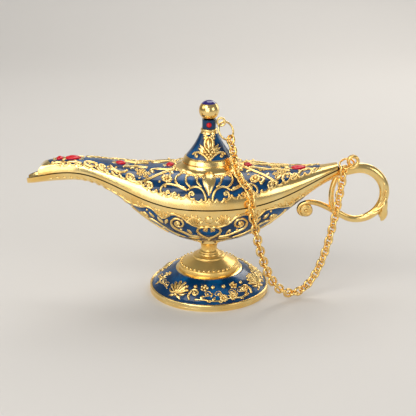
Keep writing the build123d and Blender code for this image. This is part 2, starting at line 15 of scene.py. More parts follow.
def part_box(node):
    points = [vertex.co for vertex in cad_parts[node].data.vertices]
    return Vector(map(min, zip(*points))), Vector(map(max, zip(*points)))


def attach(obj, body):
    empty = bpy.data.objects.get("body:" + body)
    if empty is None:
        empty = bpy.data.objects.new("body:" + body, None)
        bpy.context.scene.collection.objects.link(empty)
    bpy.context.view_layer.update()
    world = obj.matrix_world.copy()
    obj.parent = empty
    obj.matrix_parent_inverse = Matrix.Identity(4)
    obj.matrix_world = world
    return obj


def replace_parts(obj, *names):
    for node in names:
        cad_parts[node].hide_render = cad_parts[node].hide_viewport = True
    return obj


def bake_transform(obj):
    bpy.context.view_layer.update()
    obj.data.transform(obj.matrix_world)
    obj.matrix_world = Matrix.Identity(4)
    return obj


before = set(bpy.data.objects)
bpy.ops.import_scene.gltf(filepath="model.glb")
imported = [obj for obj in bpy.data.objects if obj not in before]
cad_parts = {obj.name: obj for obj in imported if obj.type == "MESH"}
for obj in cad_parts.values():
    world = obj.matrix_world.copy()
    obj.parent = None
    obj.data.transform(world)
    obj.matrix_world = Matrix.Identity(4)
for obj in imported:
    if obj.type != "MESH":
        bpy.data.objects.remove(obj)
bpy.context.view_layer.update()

bl_info = {
    "name": "Enamelled oil lamp",
    "version": (1, 0, 0),
    "blender": (4, 5, 0),
    "location": "View3D > Sidebar > Oil lamp",
    "description": "Dresses the lamp's solids in gilt relief, enamel, stones and a wire chain",
    "category": "Object",
}

MM = 0.001
FRONT = -1
BACK = 1
# How far the edges of leaves, of wires and of enamel fields lie below the surface, in millimetres.
SUNK, END_SUNK, FIELD_SUNK = 0.12, 0.15, 0.2
# Half the length of a ray that looks for the surface, in millimetres.
RAY = 3.0


def colour(name, about, default):
    return FloatVectorProperty(
        name=name, description=about, subtype="COLOR", size=3, min=0, max=1, default=default
    )


def length(name, about, default):
    return FloatProperty(
        name=name, description=about, subtype="DISTANCE", unit="LENGTH", min=0, default=default
    )


class LampColours(bpy.types.PropertyGroup):
    """Colours of the lamp's finishes and of the stage."""

    gold: colour("Gold", "Bright face of the gilding", (1.0, 0.770, 0.335))
    gold_deep: colour("Deep gold", "Gilding where the plate is thick and warm", (0.95, 0.615, 0.19))
    # Painted shade: this colour darkens the relief's narrow cavities in place of the shade that falls there.
    gold_cavity_shade: colour("Gold in hollows", "Gilding in the narrow cavities", (0.30, 0.135, 0.022))
    enamel: colour("Enamel", "Body colour of the blue enamel", (0.0006, 0.032, 0.100))
    enamel_light: colour("Light enamel", "Enamel where it lies thin", (0.002, 0.108, 0.305))
    red: colour("Red stone", "Red stones", (0.58, 0.0, 0.010))
    violet: colour("Violet stone", "Cabochon on the finial", (0.022, 0.013, 0.14))
    floor: colour("Floor", "Pale floor and backdrop", (0.70, 0.675, 0.64))


class LampSizes(bpy.types.PropertyGroup):
    """Sizes of the raised work."""

    wire: length("Scroll wire", "Half the width of a raised scroll line", 0.00061)
    bead: length("Bead", "Radius of a raised bead", 0.00064)
    enamel: length("Enamel layer", "Height of the enamel over the metal", 0.00012)
    chain_wire: length("Chain wire", "Diameter of the wire of the chain's links", 0.00105)
    link_length: length("Link length", "Inside length of a link", 0.0031)
    link_width: length("Link width", "Inside width of a link", 0.0024)
    medallions: IntProperty(name="Medallions", description="Medallions round the cone", min=2, default=2)


class Value:
    """A shader socket that takes part in Python sums; each sum adds one Math node."""

    def __init__(self, finish, socket):
        self.finish = finish
        self.socket = socket

    def math(self, operation, *values):
        return self.finish.add(
            "ShaderNodeMath", {"operation": operation}, dict(enumerate(values))
        )

    def __add__(self, other):
        return self.math("ADD", self, other)

    def __sub__(self, other):
        return self.math("SUBTRACT", self, other)

    def __rsub__(self, other):
        return self.math("SUBTRACT", other, self)

    def __mul__(self, other):
        return self.math("MULTIPLY", self, other)

    __radd__ = __add__
    __rmul__ = __mul__


class Finish:
    """One material, made from nodes."""

    def __init__(self, name):
        self.material = bpy.data.materials.new(name)
        self.material.use_nodes = True
        self.tree = self.material.node_tree
        self.shader = self.tree.nodes["Principled BSDF"]
        self.place = self.add("ShaderNodeTexCoord", {}, {}, "Object")

    def join(self, socket, value):
        if isinstance(value, Value):
            self.tree.links.new(value.socket, socket)
        else:
            socket.default_value = value

    def add(self, kind, settings, sockets, out=0):
        """A node of that type: its settings first, then its sockets' values or links."""
        node = self.tree.nodes.new(kind)
        for key, value in settings.items():
            if key == "stops":
                self.stops(node, value)
            else:
                setattr(node, key, value)
        for key, value in sockets.items():
            self.join(node.inputs[key], value)
        return Value(self, node.outputs[out])

    def stops(self, node, stops):
        ramp = node.color_ramp
        for i, (place, level) in enumerate(stops):
            stop = ramp.elements[i] if i < 2 else ramp.elements.new(place)
            stop.position = place
            stop.color = (level, level, level, 1)

    def noise(self, scale, detail=3.0, distortion=0.0):
        return self.add(
            "ShaderNodeTexNoise",
            {},
            {"Vector": self.place, "Scale": scale, "Detail": detail, "Distortion": distortion},
            "Fac",
        )

    def ramp(self, value, low, high):
        return self.add("ShaderNodeValToRGB", {"stops": ((low, 0.0), (high, 1.0))}, {"Fac": value})

    def mix(self, share, a, b):
        return self.add(
            "ShaderNodeMix",
            {"data_type": "RGBA"},
            {0: share, 6: a if isinstance(a, Value) else (*a, 1), 7: b if isinstance(b, Value) else (*b, 1)},
            2,
        )

    def bump(self, height, strength, distance):
        return self.add(
            "ShaderNodeBump", {}, {"Height": height, "Strength": strength, "Distance": distance}
        )

    def surface(self, **sockets):
        names = {"base": "Base Color", "rough": "Roughness", "normal": "Normal", "metal": "Metallic",
                 "coat": "Coat Weight", "coat_rough": "Coat Roughness", "spec": "Specular IOR Level"}
        for key, value in sockets.items():
            self.join(self.shader.inputs[names[key]], value)
        return self.material


def finish(name):
    """The finish of that name, made on first use."""
    found = bpy.data.materials.get(name)
    return found or FINISHES[name](bpy.context.scene.lamp_colours, Finish(name))


def polished_gold(c, f):
    cloud = f.noise(90.0)
    grain = f.noise(2600.0, 2.0)
    base = f.mix(f.ramp(cloud, 0.38, 0.66), c.gold, c.gold_deep)
    rough = 0.13 + cloud * 0.10 + grain * 0.04
    normal = f.bump(f.noise(420.0) + grain * 0.2, 0.10, 0.0003)
    return f.surface(base=base, rough=rough, metal=1.0, normal=normal)


def satin_gold(c, f):
    """Gilding over a brushed, turned face."""
    cloud = f.noise(160.0)
    base = f.mix(f.ramp(cloud, 0.35, 0.7), c.gold_deep, (1.0, 0.68, 0.20))
    normal = f.bump(f.noise(900.0), 0.12, 0.0002)
    return f.surface(base=base, rough=0.25 + cloud * 0.10, metal=0.70, normal=normal)


def cast_gold(c, f):
    """Raised work: gilding, with painted shade turning it brown in the narrow cavities."""
    painted_shade_ao = f.add("ShaderNodeAmbientOcclusion", {"samples": 8}, {"Distance": 0.0011}, "AO")
    cloud = f.noise(260.0)
    bright = f.mix(f.ramp(cloud, 0.35, 0.7), c.gold, c.gold_deep)
    # Painted shade: ambient occlusion mixes in the cavity colour where the relief is narrow and enclosed.
    base = f.mix(f.ramp(painted_shade_ao, 0.22, 0.72), c.gold_cavity_shade, bright)
    rough = 0.18 + cloud * 0.14
    return f.surface(base=base, rough=rough, metal=1.0, normal=f.bump(f.noise(1500.0), 0.16, 0.0002))


def chain_gold(c, f):
    cloud = f.noise(380.0)
    base = f.mix(f.ramp(cloud, 0.25, 0.6), c.gold, c.gold_deep)
    return f.surface(base=base, rough=0.12 + cloud * 0.12, metal=1.0, normal=f.bump(cloud, 0.08, 0.0002))


def glassy_enamel(c, f):
    """Glassy enamel, thin and lighter in patches, with a few dark specks and painted shade darkening it
    beside the raised work.
    """
    cloud = f.noise(120.0, 4.0, 0.6)
    speck = f.noise(1900.0, 2.0)
    base = f.mix(f.ramp(cloud, 0.47, 0.74), c.enamel, c.enamel_light)
    base = f.mix(f.ramp(speck, 0.62, 0.8) * 0.5, base, (0.001, 0.006, 0.03))
    # Painted shade: ambient occlusion darkens the enamel next to the raised gold, standing in for the
    # shadows along it.
    painted_shade_ao = f.add("ShaderNodeAmbientOcclusion", {"samples": 8}, {"Distance": 0.0013}, "AO")
    base = f.mix(f.ramp(painted_shade_ao, 0.45, 0.95), (0.0004, 0.006, 0.022), base)
    return f.surface(base=base, rough=0.14 + cloud * 0.10, spec=0.2, coat=0.4, coat_rough=0.05,
                     normal=f.bump(f.noise(330.0), 0.22, 0.0004))


def red_glass(c, f):
    cloud = f.noise(420.0)
    base = f.mix(f.ramp(cloud, 0.3, 0.75), c.red, (0.74, 0.004, 0.018))
    return f.surface(base=base, rough=0.14 + cloud * 0.06, spec=0.25, coat=0.35, coat_rough=0.04)


def violet_glass(c, f):
    cloud = f.noise(520.0)
    base = f.mix(f.ramp(cloud, 0.35, 0.75), c.violet, (0.045, 0.032, 0.22))
    return f.surface(base=base, rough=0.12 + cloud * 0.05, spec=0.3, coat=0.4, coat_rough=0.04)


def pale_floor(c, f):
    cloud = f.noise(3.0)
    base = f.mix(cloud * 0.12, c.floor, (0.64, 0.61, 0.57))
    return f.surface(base=base, rough=0.62 + cloud * 0.1)


def seam_metal(c, f):
    """Metal faces inside the seam, painted near-black as the shadow in the gap between cover and bowl."""
    cloud = f.noise(700.0)
    base = f.mix(f.ramp(cloud, 0.3, 0.7), (0.012, 0.007, 0.003), (0.035, 0.02, 0.008))
    return f.surface(base=base, rough=0.7 + cloud * 0.2, spec=0.1)


FINISHES = {
    make.__name__: make
    for make in (
        seam_metal, polished_gold, cast_gold, chain_gold, satin_gold, glassy_enamel, red_glass,
        violet_glass, pale_floor,
    )
}


def clamp(value, low=0.0, high=1.0):
    return max(low, min(high, value))


def in_mm(context, *names):
    """Sizes of the raised work, in millimetres."""
    return [getattr(context.scene.lamp_sizes, name) * 1000 for name in names]


def mirror(line, hand):
    return [(u * hand, v) for u, v in line]


def oval(wide, deep, count=24):
    """Points round an ellipse; the first comes again at the end."""
    turns = [math.tau * k / count for k in range(count + 1)]
    return [(wide * math.cos(a), deep * math.sin(a)) for a in turns]


def slope_length(profile):
    return sum(math.dist(a, b) for a, b in zip(profile, profile[1:]))


def compass(angle):
    """Level direction at an angle from the front."""
    return Vector((math.sin(angle), -math.cos(angle), 0.0))


class Swell(NamedTuple):
    """A size that changes along one half of the lamp, over a reach from the middle."""

    base: float
    rise: float
    reach: float
    power: float

    def angle(self, x):
        return math.pi / 2 * min(abs(x) / self.reach, 1.0)

    def grow(self, x):
        return self.base + self.rise * math.sin(self.angle(x)) ** self.power

    def fade(self, x):
        return self.base + self.rise * math.cos(self.angle(x)) ** self.power


HEEL_RIM, SPOUT_RIM = Swell(46.2, 17.4, 80, 3.3), Swell(46.2, 12.0, 60, 3.3)
HEEL_WIDTH, SPOUT_WIDTH = Swell(3.2, 19.8, 60, 1.35), Swell(4.8, 18.2, 66, 1.35)
HEEL_KEEL, SPOUT_KEEL = Swell(25.0, 31.5, 68, 2.5), Swell(25.0, 28.5, 58, 2.5)
HEEL_CREST, SPOUT_CREST = Swell(1.6, 13.4, 62, 1.5), Swell(5.0, 10.0, 55, 1.8)
RIM_DROP, KEEL_DROP, TIP_ROUND = 3.2, 1.8, 0.72
SEAM_HALF, SEAM_REACH, COVER_FULLNESS, BOWL_FULLNESS = 0.3, 0.8, 0.7, 0.56


def towards_lip(x, start, length):
    """0 up to the start on the spout, 1 at its lip."""
    return clamp((-x - start) / length)


def rim_level(x):
    if x > 0:
        return HEEL_RIM.grow(x)
    return SPOUT_RIM.grow(x) - RIM_DROP * towards_lip(x, 60, 22.5) ** 2


def half_width(x):
    if x > 0:
        return HEEL_WIDTH.fade(x)
    return SPOUT_WIDTH.fade(x) * math.sqrt(1 - TIP_ROUND * towards_lip(x, 76.5, 6) ** 2)


def keel_level(x):
    if x > 0:
        return HEEL_KEEL.grow(x)
    return SPOUT_KEEL.grow(x) - KEEL_DROP * towards_lip(x, 58, 24.5) ** 2


def crest_rise(x):
    return HEEL_CREST.fade(x) if x > 0 else SPOUT_CREST.fade(x)


@lru_cache(maxsize=None)
def section(part, x):
    """(arc length, y, z) along half a section at x, from the rim to the middle line."""
    w = half_width(x)
    if part == "cover":
        base, h, side = rim_level(x) + SEAM_HALF, crest_rise(x), COVER_FULLNESS
    else:
        base, side = rim_level(x) - SEAM_HALF, BOWL_FULLNESS
        h = keel_level(x) - base
    ends = ((w, 0.0), (w, side * h), (side * w, h), (0.0, h))
    rows, run, last = [], 0.0, None
    for i in range(33):
        t = i / 32
        m = ((1 - t) ** 3, 3 * t * (1 - t) ** 2, 3 * t * t * (1 - t), t ** 3)
        spot = (sum(a * e[0] for a, e in zip(m, ends)), base + sum(a * e[1] for a, e in zip(m, ends)))
        run += math.dist(spot, last) if last else 0.0
        last = spot
        rows.append((run, *spot))
    return rows


def girth(part, x):
    return section(part, round(x, 2))[-1][0]


def on_section(part, x, s):
    rows = section(part, round(x, 2))
    s = clamp(s, 0.0, rows[-1][0])
    for a, b in zip(rows, rows[1:]):
        if s <= b[0]:
            k = (s - a[0]) / max(b[0] - a[0], 1e-9)
            return Vector((x, a[1] + (b[1] - a[1]) * k, a[2] + (b[2] - a[2]) * k))
    return Vector((x, rows[-1][1], rows[-1][2]))


@lru_cache(maxsize=None)
def skin(node):
    """The node's surface for rays, in millimetres."""
    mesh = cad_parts[node].data
    points = [v.co * 1000 for v in mesh.vertices]
    return BVHTree.FromPolygons(points, [tuple(p.vertices) for p in mesh.polygons])


def settle(node, point, normal):
    """The point moved along the normal on to the node's surface."""
    hit = skin(node).ray_cast(point + normal * RAY, -normal, 2 * RAY)
    return hit[0] if hit[0] else point


def hull_chart(part, side):
    """Chart of the cover or bowl: x along the lamp, s from the rim along the section."""

    def chart(x, s):
        step = 0.25
        p = on_section(part, x, s)
        far = girth(part, x)
        ahead = on_section(part, x + step, s / far * girth(part, x + step))
        behind = on_section(part, x - step, s / far * girth(part, x - step))
        low, high = on_section(part, x, max(s - step, 0.0)), on_section(part, x, min(s + step, far))
        n = (ahead - behind).cross(high - low).normalized()
        out = Vector((0.0, p.y, p.z - rim_level(x)))
        if n.dot(out) < 0:
            n = -n
        p, n = Vector((p.x, p.y * side, p.z)), Vector((n.x, n.y * side, n.z))
        return settle(part, p, n), n

    return chart


def hull_charts(part):
    return [hull_chart(part, side) for side in (FRONT, BACK)]


def ridge_chart(node):
    """Chart of a node seen from above: x and y."""

    def chart(x, y):
        hit = skin(node).ray_cast(Vector((x, y, 120.0)), Vector((0, 0, -1)), 200.0)
        if not hit[0]:
            raise RuntimeError(f"nothing of {node} lies under {x:.1f}, {y:.1f}")
        return hit[0], Vector((hit[1].x, hit[1].y, max(hit[1].z, 0.2))).normalized()

    return chart


def side_chart(node, side):
    """Chart of a node seen from the front or back: x and z."""

    def chart(x, z):
        hit = skin(node).ray_cast(Vector((x, 60.0 * side, z)), Vector((0, -side, 0)), 120.0)
        if not hit[0]:
            hit = skin(node).find_nearest(Vector((x, 1.0 * side, z)))
        return hit[0], Vector((0, side, 0))

    return chart


def flat_chart(spot, side):
    """Chart of an upright face through the spot: x and z from there."""

    def chart(u, v):
        return spot + Vector((u, 0.0, v)), Vector((0, side, 0))

    return chart


def round_chart(node, profile, turn):
    """Chart of a round node about one angle: u across, v along its rising profile of (r, z)."""
    runs = [0.0]
    for a, b in zip(profile, profile[1:]):
        runs.append(runs[-1] + math.dist(a, b))
    lengths = list(zip(runs, profile))

    def level(v):
        v = clamp(v, 0.0, runs[-1])
        for (ra, a), (rb, b) in zip(lengths, lengths[1:]):
            if v <= rb + 1e-9:
                k = (v - ra) / (rb - ra)
                return (a[0] + (b[0] - a[0]) * k, a[1] + (b[1] - a[1]) * k)
        return profile[-1]

    def chart(u, v):
        r, z = level(v)
        low, high = level(v - 0.3), level(v + 0.3)
        run = Vector((high[0] - low[0], high[1] - low[1])).normalized()
        angle = math.radians(turn) + u / r
        way = compass(angle)
        n = (way * run.y - Vector((0, 0, 1)) * run.x).normalized()
        return settle(node, way * r + Vector((0, 0, z)), n), n

    return chart


FOOT_SLOPE = tuple(
    (26.3 - 11.7 * t + 2.2 * t * (1 - t), 2.8 + 7.8 * t + 4.4 * t * (1 - t))
    for t in (0, 0.25, 0.5, 0.75, 1)
)
FOOT_RIM = (
    (27.2, 0.02), (27.7, 0.25), (27.76, 0.6), (27.76, 2.5), (27.62, 2.95), (27.3, 3.15), (26.98, 3.05),
    (26.8, 2.7),
)
FOOT_HEM = ((27.0, 2.5), (26.95, 3.0))
FOOT_STEPS, CONE_STEPS = 120, 72
FOOT_PALMETTES = (-38, 69, 160, 250)
FOOT_SPRIGS = (-76, 112, 205)
FOOT_WAVES = ((0.34, 1), (0.46, -1), (0.6, 1), (0.72, -1))
SHORT_SECTOR = 80
VINE_RADIUS = 24.0
DOME_PROFILE = (
    (14.12, 10.7), (14.16, 11.9), (13.95, 12.6), (13.5, 13.0), (12.3, 13.7), (11.0, 14.4), (9.6, 15.15),
    (8.4, 15.8), (7.6, 16.2), (7.6, 16.6), (7.2, 17.0), (6.5, 17.2), (5.9, 17.25), (5.3, 17.4),
    (5.15, 17.8), (4.9, 18.15), (4.55, 18.35), (4.6, 18.75), (4.3, 19.1), (3.9, 19.4), (3.75, 20.0),
    (3.8, 20.9), (3.95, 21.9), (4.2, 22.8), (4.6, 23.6), (4.7, 23.75),
)
PEARLS, PEARL_RING, PEARL_LEVEL, PEARL_RADIUS = 36, 13.1, 13.25, 0.66
CONE_SLOPE = ((10.9, 64.9), (8.1, 67.3), (5.9, 71.2), (4.5, 74.0), (3.7, 76.0))
COLLAR_WAIST, COLLAR_LIP, HEM, HEM_LOBES = 12.05, 2.1, 15.2, 26
LOBE_BEADS, NOTCH_BEADS = 16.2, 15.5
LOOP_MIDDLE, BOSS_LEVEL, BOSS_INSET, EYELET_RADIUS = (69.4, 46.6), 38.6, 4.4, 2.2


def smooth_run(points, spacing=0.45):
    """A smooth run through chart points."""
    out = []
    for i in range(len(points) - 1):
        a, b = points[max(i - 1, 0)], points[i]
        c, d = points[i + 1], points[min(i + 2, len(points) - 1)]
        steps = max(2, int(math.dist(b, c) / spacing))
        for k in range(steps):
            t = k / steps
            m = (-0.5 * t ** 3 + t * t - 0.5 * t, 1.5 * t ** 3 - 2.5 * t * t + 1,
                 -1.5 * t ** 3 + 2 * t * t + 0.5 * t, 0.5 * t ** 3 - 0.5 * t * t)
            out.append(tuple(sum(w * p[j] for w, p in zip(m, (a, b, c, d))) for j in (0, 1)))
    return out + [tuple(points[-1])]


class Relief:
    """Raised work gathered into one mesh, in millimetres."""

    def __init__(self):
        self.points = []
        self.faces = []

    def grid(self, rows, loop=False):
        first, wide = len(self.points), len(rows[0])
        for row in rows:
            self.points.extend(row)
        for i in range(len(rows) - 1):
            for j in range(wide if loop else wide - 1):
                k = (j + 1) % wide
                a, b = first + i * wide, first + (i + 1) * wide
                self.faces.append((a + j, a + k, b + k, b + j))

    def wire(self, chart, points, radius, taper=0.0, rise=1.15):
        """A half-round line along the run, thinner towards its end by the taper."""
        spots = [chart(*p) for p in smooth_run(points)]
        last = len(spots) - 1
        rows = []
        for i, (p, n) in enumerate(spots):
            ahead = spots[min(i + 1, last)][0] - spots[max(i - 1, 0)][0]
            across = n.cross(ahead).normalized()
            r = radius * (1 - taper * i / max(last, 1)) * (0.45 if i in (0, last) else 1.0)
            turns = [math.radians(-28 + 236 * k / 6) for k in range(7)]
            rows.append([p + across * (r * math.cos(a)) + n * (r * rise * math.sin(a)) for a in turns])
        start, end = ([p - n * END_SUNK] * 7 for p, n in (spots[0], spots[-1]))
        self.grid([start, *rows, end])

    def bead(self, chart, u, v, radius, rise=0.95):
        p, n = chart(u, v)
        side = n.orthogonal().normalized()
        other = n.cross(side)
        rows = []
        for i in range(5):
            a = math.radians(-25 + 115 * i / 4)
            count = 8 if radius < 1.2 else 28
            ring = [math.tau * k / count for k in range(count)]
            rows.append([
                p + (side * math.cos(t) + other * math.sin(t)) * (radius * math.cos(a))
                + n * (radius * rise * math.sin(a))
                for t in ring
            ])
        self.grid(rows, loop=True)

    def gem(self, chart, x, long, wide, rise=2.0):
        """A domed oval stone across the middle line."""
        rows = []
        for i in range(7):
            a = math.radians(-12 + 102 * i / 6)
            row = []
            for k in range(28):
                t = math.tau * k / 28
                p, n = chart(x + long * math.cos(t) * math.cos(a), wide * math.sin(t) * math.cos(a))
                row.append(p + n * (rise * math.sin(a)))
            rows.append(row)
        self.grid(rows, loop=True)

    def leaf(self, chart, base, tip, width, rise, belly=0.42, rib=0.35, bend=0.0):
        """A pointed leaf from base to tip with a groove along its rib."""
        way = Vector((tip[0] - base[0], tip[1] - base[1]))
        side = Vector((-way.y, way.x)).normalized()
        rows = []
        for i in range(9):
            t = 0.02 + 0.96 * i / 8
            share = math.sin(math.pi * t ** (math.log(0.5) / math.log(belly)))
            half = width / 2 * max(share, 0.02) ** 0.8
            row = []
            for j in range(7):
                a = -1 + j / 3
                spot = Vector(base) + way * t + side * (a * half + bend * math.sin(math.pi * t))
                p, n = chart(spot.x, spot.y)
                h = rise * share ** 0.5 * (1.12 - abs(a) ** 2.2) - (rise * rib if j == 3 else 0.0) * share
                row.append(p + n * (h if abs(a) < 0.99 else -SUNK))
            rows.append(row)
        self.grid(rows)

    def leaves(self, chart, table, rise, hand=1):
        """Leaves from a table of (base, tip, width), mirrored by the hand."""
        for base, tip, width in table:
            self.leaf(chart, (base[0] * hand, base[1]), (tip[0] * hand, tip[1]), width, rise)

    def volute(self, chart, u, v, radius, turn, hand, sweep, wire, tail=()):
        """A scroll that winds in to a bead; its tail leads up to it."""
        spiral = []
        for i in range(15):
            k = i / 14
            a = math.radians(turn) + hand * math.tau * sweep * k
            r = radius * (1 - 0.78 * k)
            spiral.append((u + r * math.cos(a), v + r * math.sin(a)))
        self.wire(chart, list(tail) + spiral, wire, 0.25)
        self.bead(chart, u, v, radius * 0.36)

    def daisy(self, chart, u, v, radius, petals, turn=0.0):
        for i in range(petals):
            a = math.radians(turn) + math.tau * i / petals
            way = (math.cos(a), math.sin(a))
            self.leaf(chart, (u + way[0] * radius * 0.2, v + way[1] * radius * 0.2),
                      (u + way[0] * radius, v + way[1] * radius), radius * 0.85, 0.65, 0.6, 0.15)
        self.bead(chart, u, v, radius * 0.34, 1.6)

    def cluster(self, chart, u, v, radius):
        """Small blossoms packed round one in the middle."""
        self.daisy(chart, u, v, radius * 0.52, 5)
        for i in range(5):
            a = math.tau * (i + 0.25) / 5
            spot = (u + radius * 0.72 * math.cos(a), v + radius * 0.72 * math.sin(a))
            self.daisy(chart, *spot, radius * 0.4, 5, i * 20)

    def fan(self, chart, base, turn, reach, spread, ribs, rise):
        """A fluted shell whose ribs spread from one point."""
        fine, deep = 6, 8
        steps = ribs * fine

        def spot(off, share):
            a = math.radians(turn + spread / 2 * off)
            far = reach * (1 - 0.22 * abs(off)) * share
            return base[0] + far * math.cos(a), base[1] + far * math.sin(a)

        rows = []
        for i in range(steps + 1):
            flute = abs(math.sin(math.pi * i / fine))
            row = []
            for j in range(deep + 1):
                t = j / deep
                p, n = chart(*spot(2 * i / steps - 1, (0.84 + 0.16 * flute) * t))
                swell = (0.45 + 0.55 * min(t * 1.3, 1.0)) * (1 - 0.75 * (1 - flute) * min(t * 2, 1.0))
                row.append(p + n * (rise * swell * 0.55 if j < deep and 0 < i < steps else -SUNK))
            rows.append(row)
        self.grid(rows)
        width = math.radians(spread) * reach / ribs
        for i in range(ribs):
            run = [spot((2 * i + 1) / ribs - 1, 0.93 * t) for t in (0.15, 0.45, 0.75, 1.0)]
            self.wire(chart, run, width * 0.13, -1.2, rise * 1.3)
            self.bead(chart, *run[-1], width * 0.3, 0.9)

    def turned(self, profile, count=96):
        """A surface turned about the upright axis through (r, z) points."""
        run = smooth_run(profile, 0.3)
        rows = []
        for k in range(count + 1):
            way = compass(math.tau * k / count)
            rows.append([way * r + Vector((0, 0, z)) for r, z in run])
        self.grid(rows)

    def piece(self, name, body, material, slot="gilt_metal"):
        mesh = bpy.data.meshes.new(name)
        mesh.from_pydata([p * MM for p in self.points], [], self.faces)
        made = bmesh.new()
        made.from_mesh(mesh)
        bmesh.ops.remove_doubles(made, verts=made.verts, dist=2e-6)
        bmesh.ops.recalc_face_normals(made, faces=made.faces)
        made.to_mesh(mesh)
        made.free()
        for face in mesh.polygons:
            face.use_smooth = True
        mesh.materials.append(finish(material))
        obj = bpy.data.objects.new(name, mesh)
        bpy.context.scene.collection.objects.link(obj)
        if body:
            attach(obj, body)
        return obj


def between(table, x):
    """Level at x on a line through (x, level) pairs."""
    if x <= table[0][0]:
        return table[0][1]
    for (xa, a), (xb, b) in zip(table, table[1:]):
        if x <= xb:
            return a + (b - a) * (x - xa) / (xb - xa)
    return table[-1][1]


COVER_EDGE = (
    (-71.4, 4.6), (-66, 3.2), (-61, 3.5), (-57, 3.4), (-53, 3.4), (-48, 3.8), (-44, 4.4), (-40, 5.0),
    (-35, 5.8), (-31, 6.0), (-28, 5.4), (-25.6, 4.8), (-22.5, 4.8), (-20.7, 5.0), (-19.6, 4.6),
    (-14.7, 4.8), (-10, 5.0), (-8.4, 5.0), (-6.5, 3.7), (-3, 3.3), (0, 3.7), (3, 3.3), (6.5, 3.7),
    (8.4, 5.0), (10, 5.0), (15.8, 4.9), (22.2, 4.8), (30.7, 6.2), (35.8, 6.4), (39.9, 5.9), (45, 4.8),
    (48.7, 5.4),
)
LOBE, CUSPS, BEADS_FROM = 3.3, range(-21, 15), -56
BOWL_EDGE = (
    (-47, 4.4), (-44.8, 3.7), (-39.6, 4.0), (-35.2, 5.4), (-30.6, 4.2), (-27.5, 2.3), (-24.8, 2.5),
    (-22.5, 4.6), (-20.4, 6.0), (-18.6, 4.4), (-17.2, 2.7), (-15.3, 2.1), (-12.2, 3.0), (-10.2, 4.8),
    (-8.2, 6.6), (-5.4, 7.8), (-3.4, 8.2), (0, 7.8), (3.4, 8.2), (5.4, 7.8), (8.2, 6.6), (10.2, 4.8),
    (12.2, 3.0), (15.3, 2.1), (17.2, 2.7), (18.6, 4.4), (20.4, 6.0), (22.5, 4.6), (24.8, 2.5),
    (30.8, 3.4), (36, 6.0), (39, 4.6), (43, 4.2),
)
BOWL_FIRST, BOWL_LAST = BOWL_EDGE[0][0], BOWL_EDGE[-1][0]
FIELD_STEP, FIELD_ROWS, FIELD_CLOSE = 0.5, 24, 2.4


def cover_edge_level(x):
    """Lower edge of the cover's enamel: lobes between cusps of gold."""
    return between(COVER_EDGE, x) + 1.0 - 1.3 * abs(math.sin(math.pi * x / LOBE)) ** 0.8


def bowl_edge_level(x):
    return between(BOWL_EDGE, x)


def enamel_field(name, part, body, edge, start, end):
    """Enamel between the leafy gold edge and the middle line, on both sides."""
    work = Relief()
    lift = in_mm(bpy.context, "enamel")[0]
    count = int((end - start) / FIELD_STEP)
    for chart in hull_charts(part):
        rows = []
        for i in range(count + 1):
            x = start + (end - start) * i / count
            top = girth(part, x)
            close = clamp(min(x - start, end - x) / FIELD_CLOSE)
            low = top - (top - min(edge(x), top - 0.3)) * math.sqrt(close)
            row = []
            for j in range(FIELD_ROWS + 1):
                p, n = chart(x, low + (top - low) * j / FIELD_ROWS)
                row.append(p + n * (lift if j else -FIELD_SUNK))
            rows.append(row)
        work.grid(rows)
    work.piece(name, body, "glassy_enamel", "blue_enamel")


class LAMP_OT_gild(bpy.types.Operator):
    """Gives the lamp's plain metal its gilding and its stones their glass"""

    bl_idname = "lamp.gild"
    bl_label = "Gild the metal and set the stones"

    def execute(self, context):
        for name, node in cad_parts.items():
            mesh = node.data
            mesh.materials.clear()
            if name == "finial_cabochon":
                mesh.materials.append(finish("violet_glass"))
            elif "stone" in name:
                mesh.materials.append(finish("red_glass"))
            elif name == "neck":
                mesh.materials.append(finish("glassy_enamel"))
            else:
                mesh.materials.append(finish("polished_gold"))
            # Painted shadow: the cover's and bowl's rim faces at the seam take the near-black finish that
            # stands in for the shade in the gap.
            seam = name in ("cover", "bowl")
            if seam:
                mesh.materials.append(finish("seam_metal"))
            for face in mesh.polygons:
                face.use_smooth = True
                spot = face.center * 1000
                if seam and abs(face.normal.z) > 0.5 and abs(spot.z - rim_level(spot.x)) < SEAM_REACH:
                    face.material_index = 1
        return {"FINISHED"}


class LAMP_OT_body_enamel(bpy.types.Operator):
    """Lays the blue enamel on the cover and the bowl"""

    bl_idname = "lamp.body_enamel"
    bl_label = "Body enamel"

    def execute(self, context):
        enamel_field("cover_enamel", "cover", "lid", cover_edge_level, -73.0, 50.5)
        enamel_field("bowl_enamel", "bowl", "lamp", bowl_edge_level, -49.0, 44.0)
        return {"FINISHED"}


class LAMP_OT_cover_edge(bpy.types.Operator):
    """Raises the leafy gold edge of the cover's enamel"""

    bl_idname = "lamp.cover_edge"
    bl_label = "Cover edge"

    def execute(self, context):
        wire, bead = in_mm(context, "wire", "bead")
        work = Relief()
        for chart in hull_charts("cover"):
            line = [(x, cover_edge_level(x)) for x in np.arange(-71.0, 49.1, LOBE / 6)]
            work.wire(chart, line, wire * 0.7)
            for i in CUSPS:
                x = i * LOBE
                s = between(COVER_EDGE, x)
                if x > BEADS_FROM:
                    work.bead(chart, x, s + 1.1, bead * 1.15)
                if i % 2 == 0:
                    drop = min(s - 0.8, 0.9)
                    for lean in (-0.6, 0.6):
                        tip = (x + lean * 1.6, s - drop)
                        work.leaf(chart, (x + lean, s + 0.4), tip, 1.0, 0.5, 0.6, 0.05)
        work.piece("cover_edge", "lid", "cast_gold")
        return {"FINISHED"}


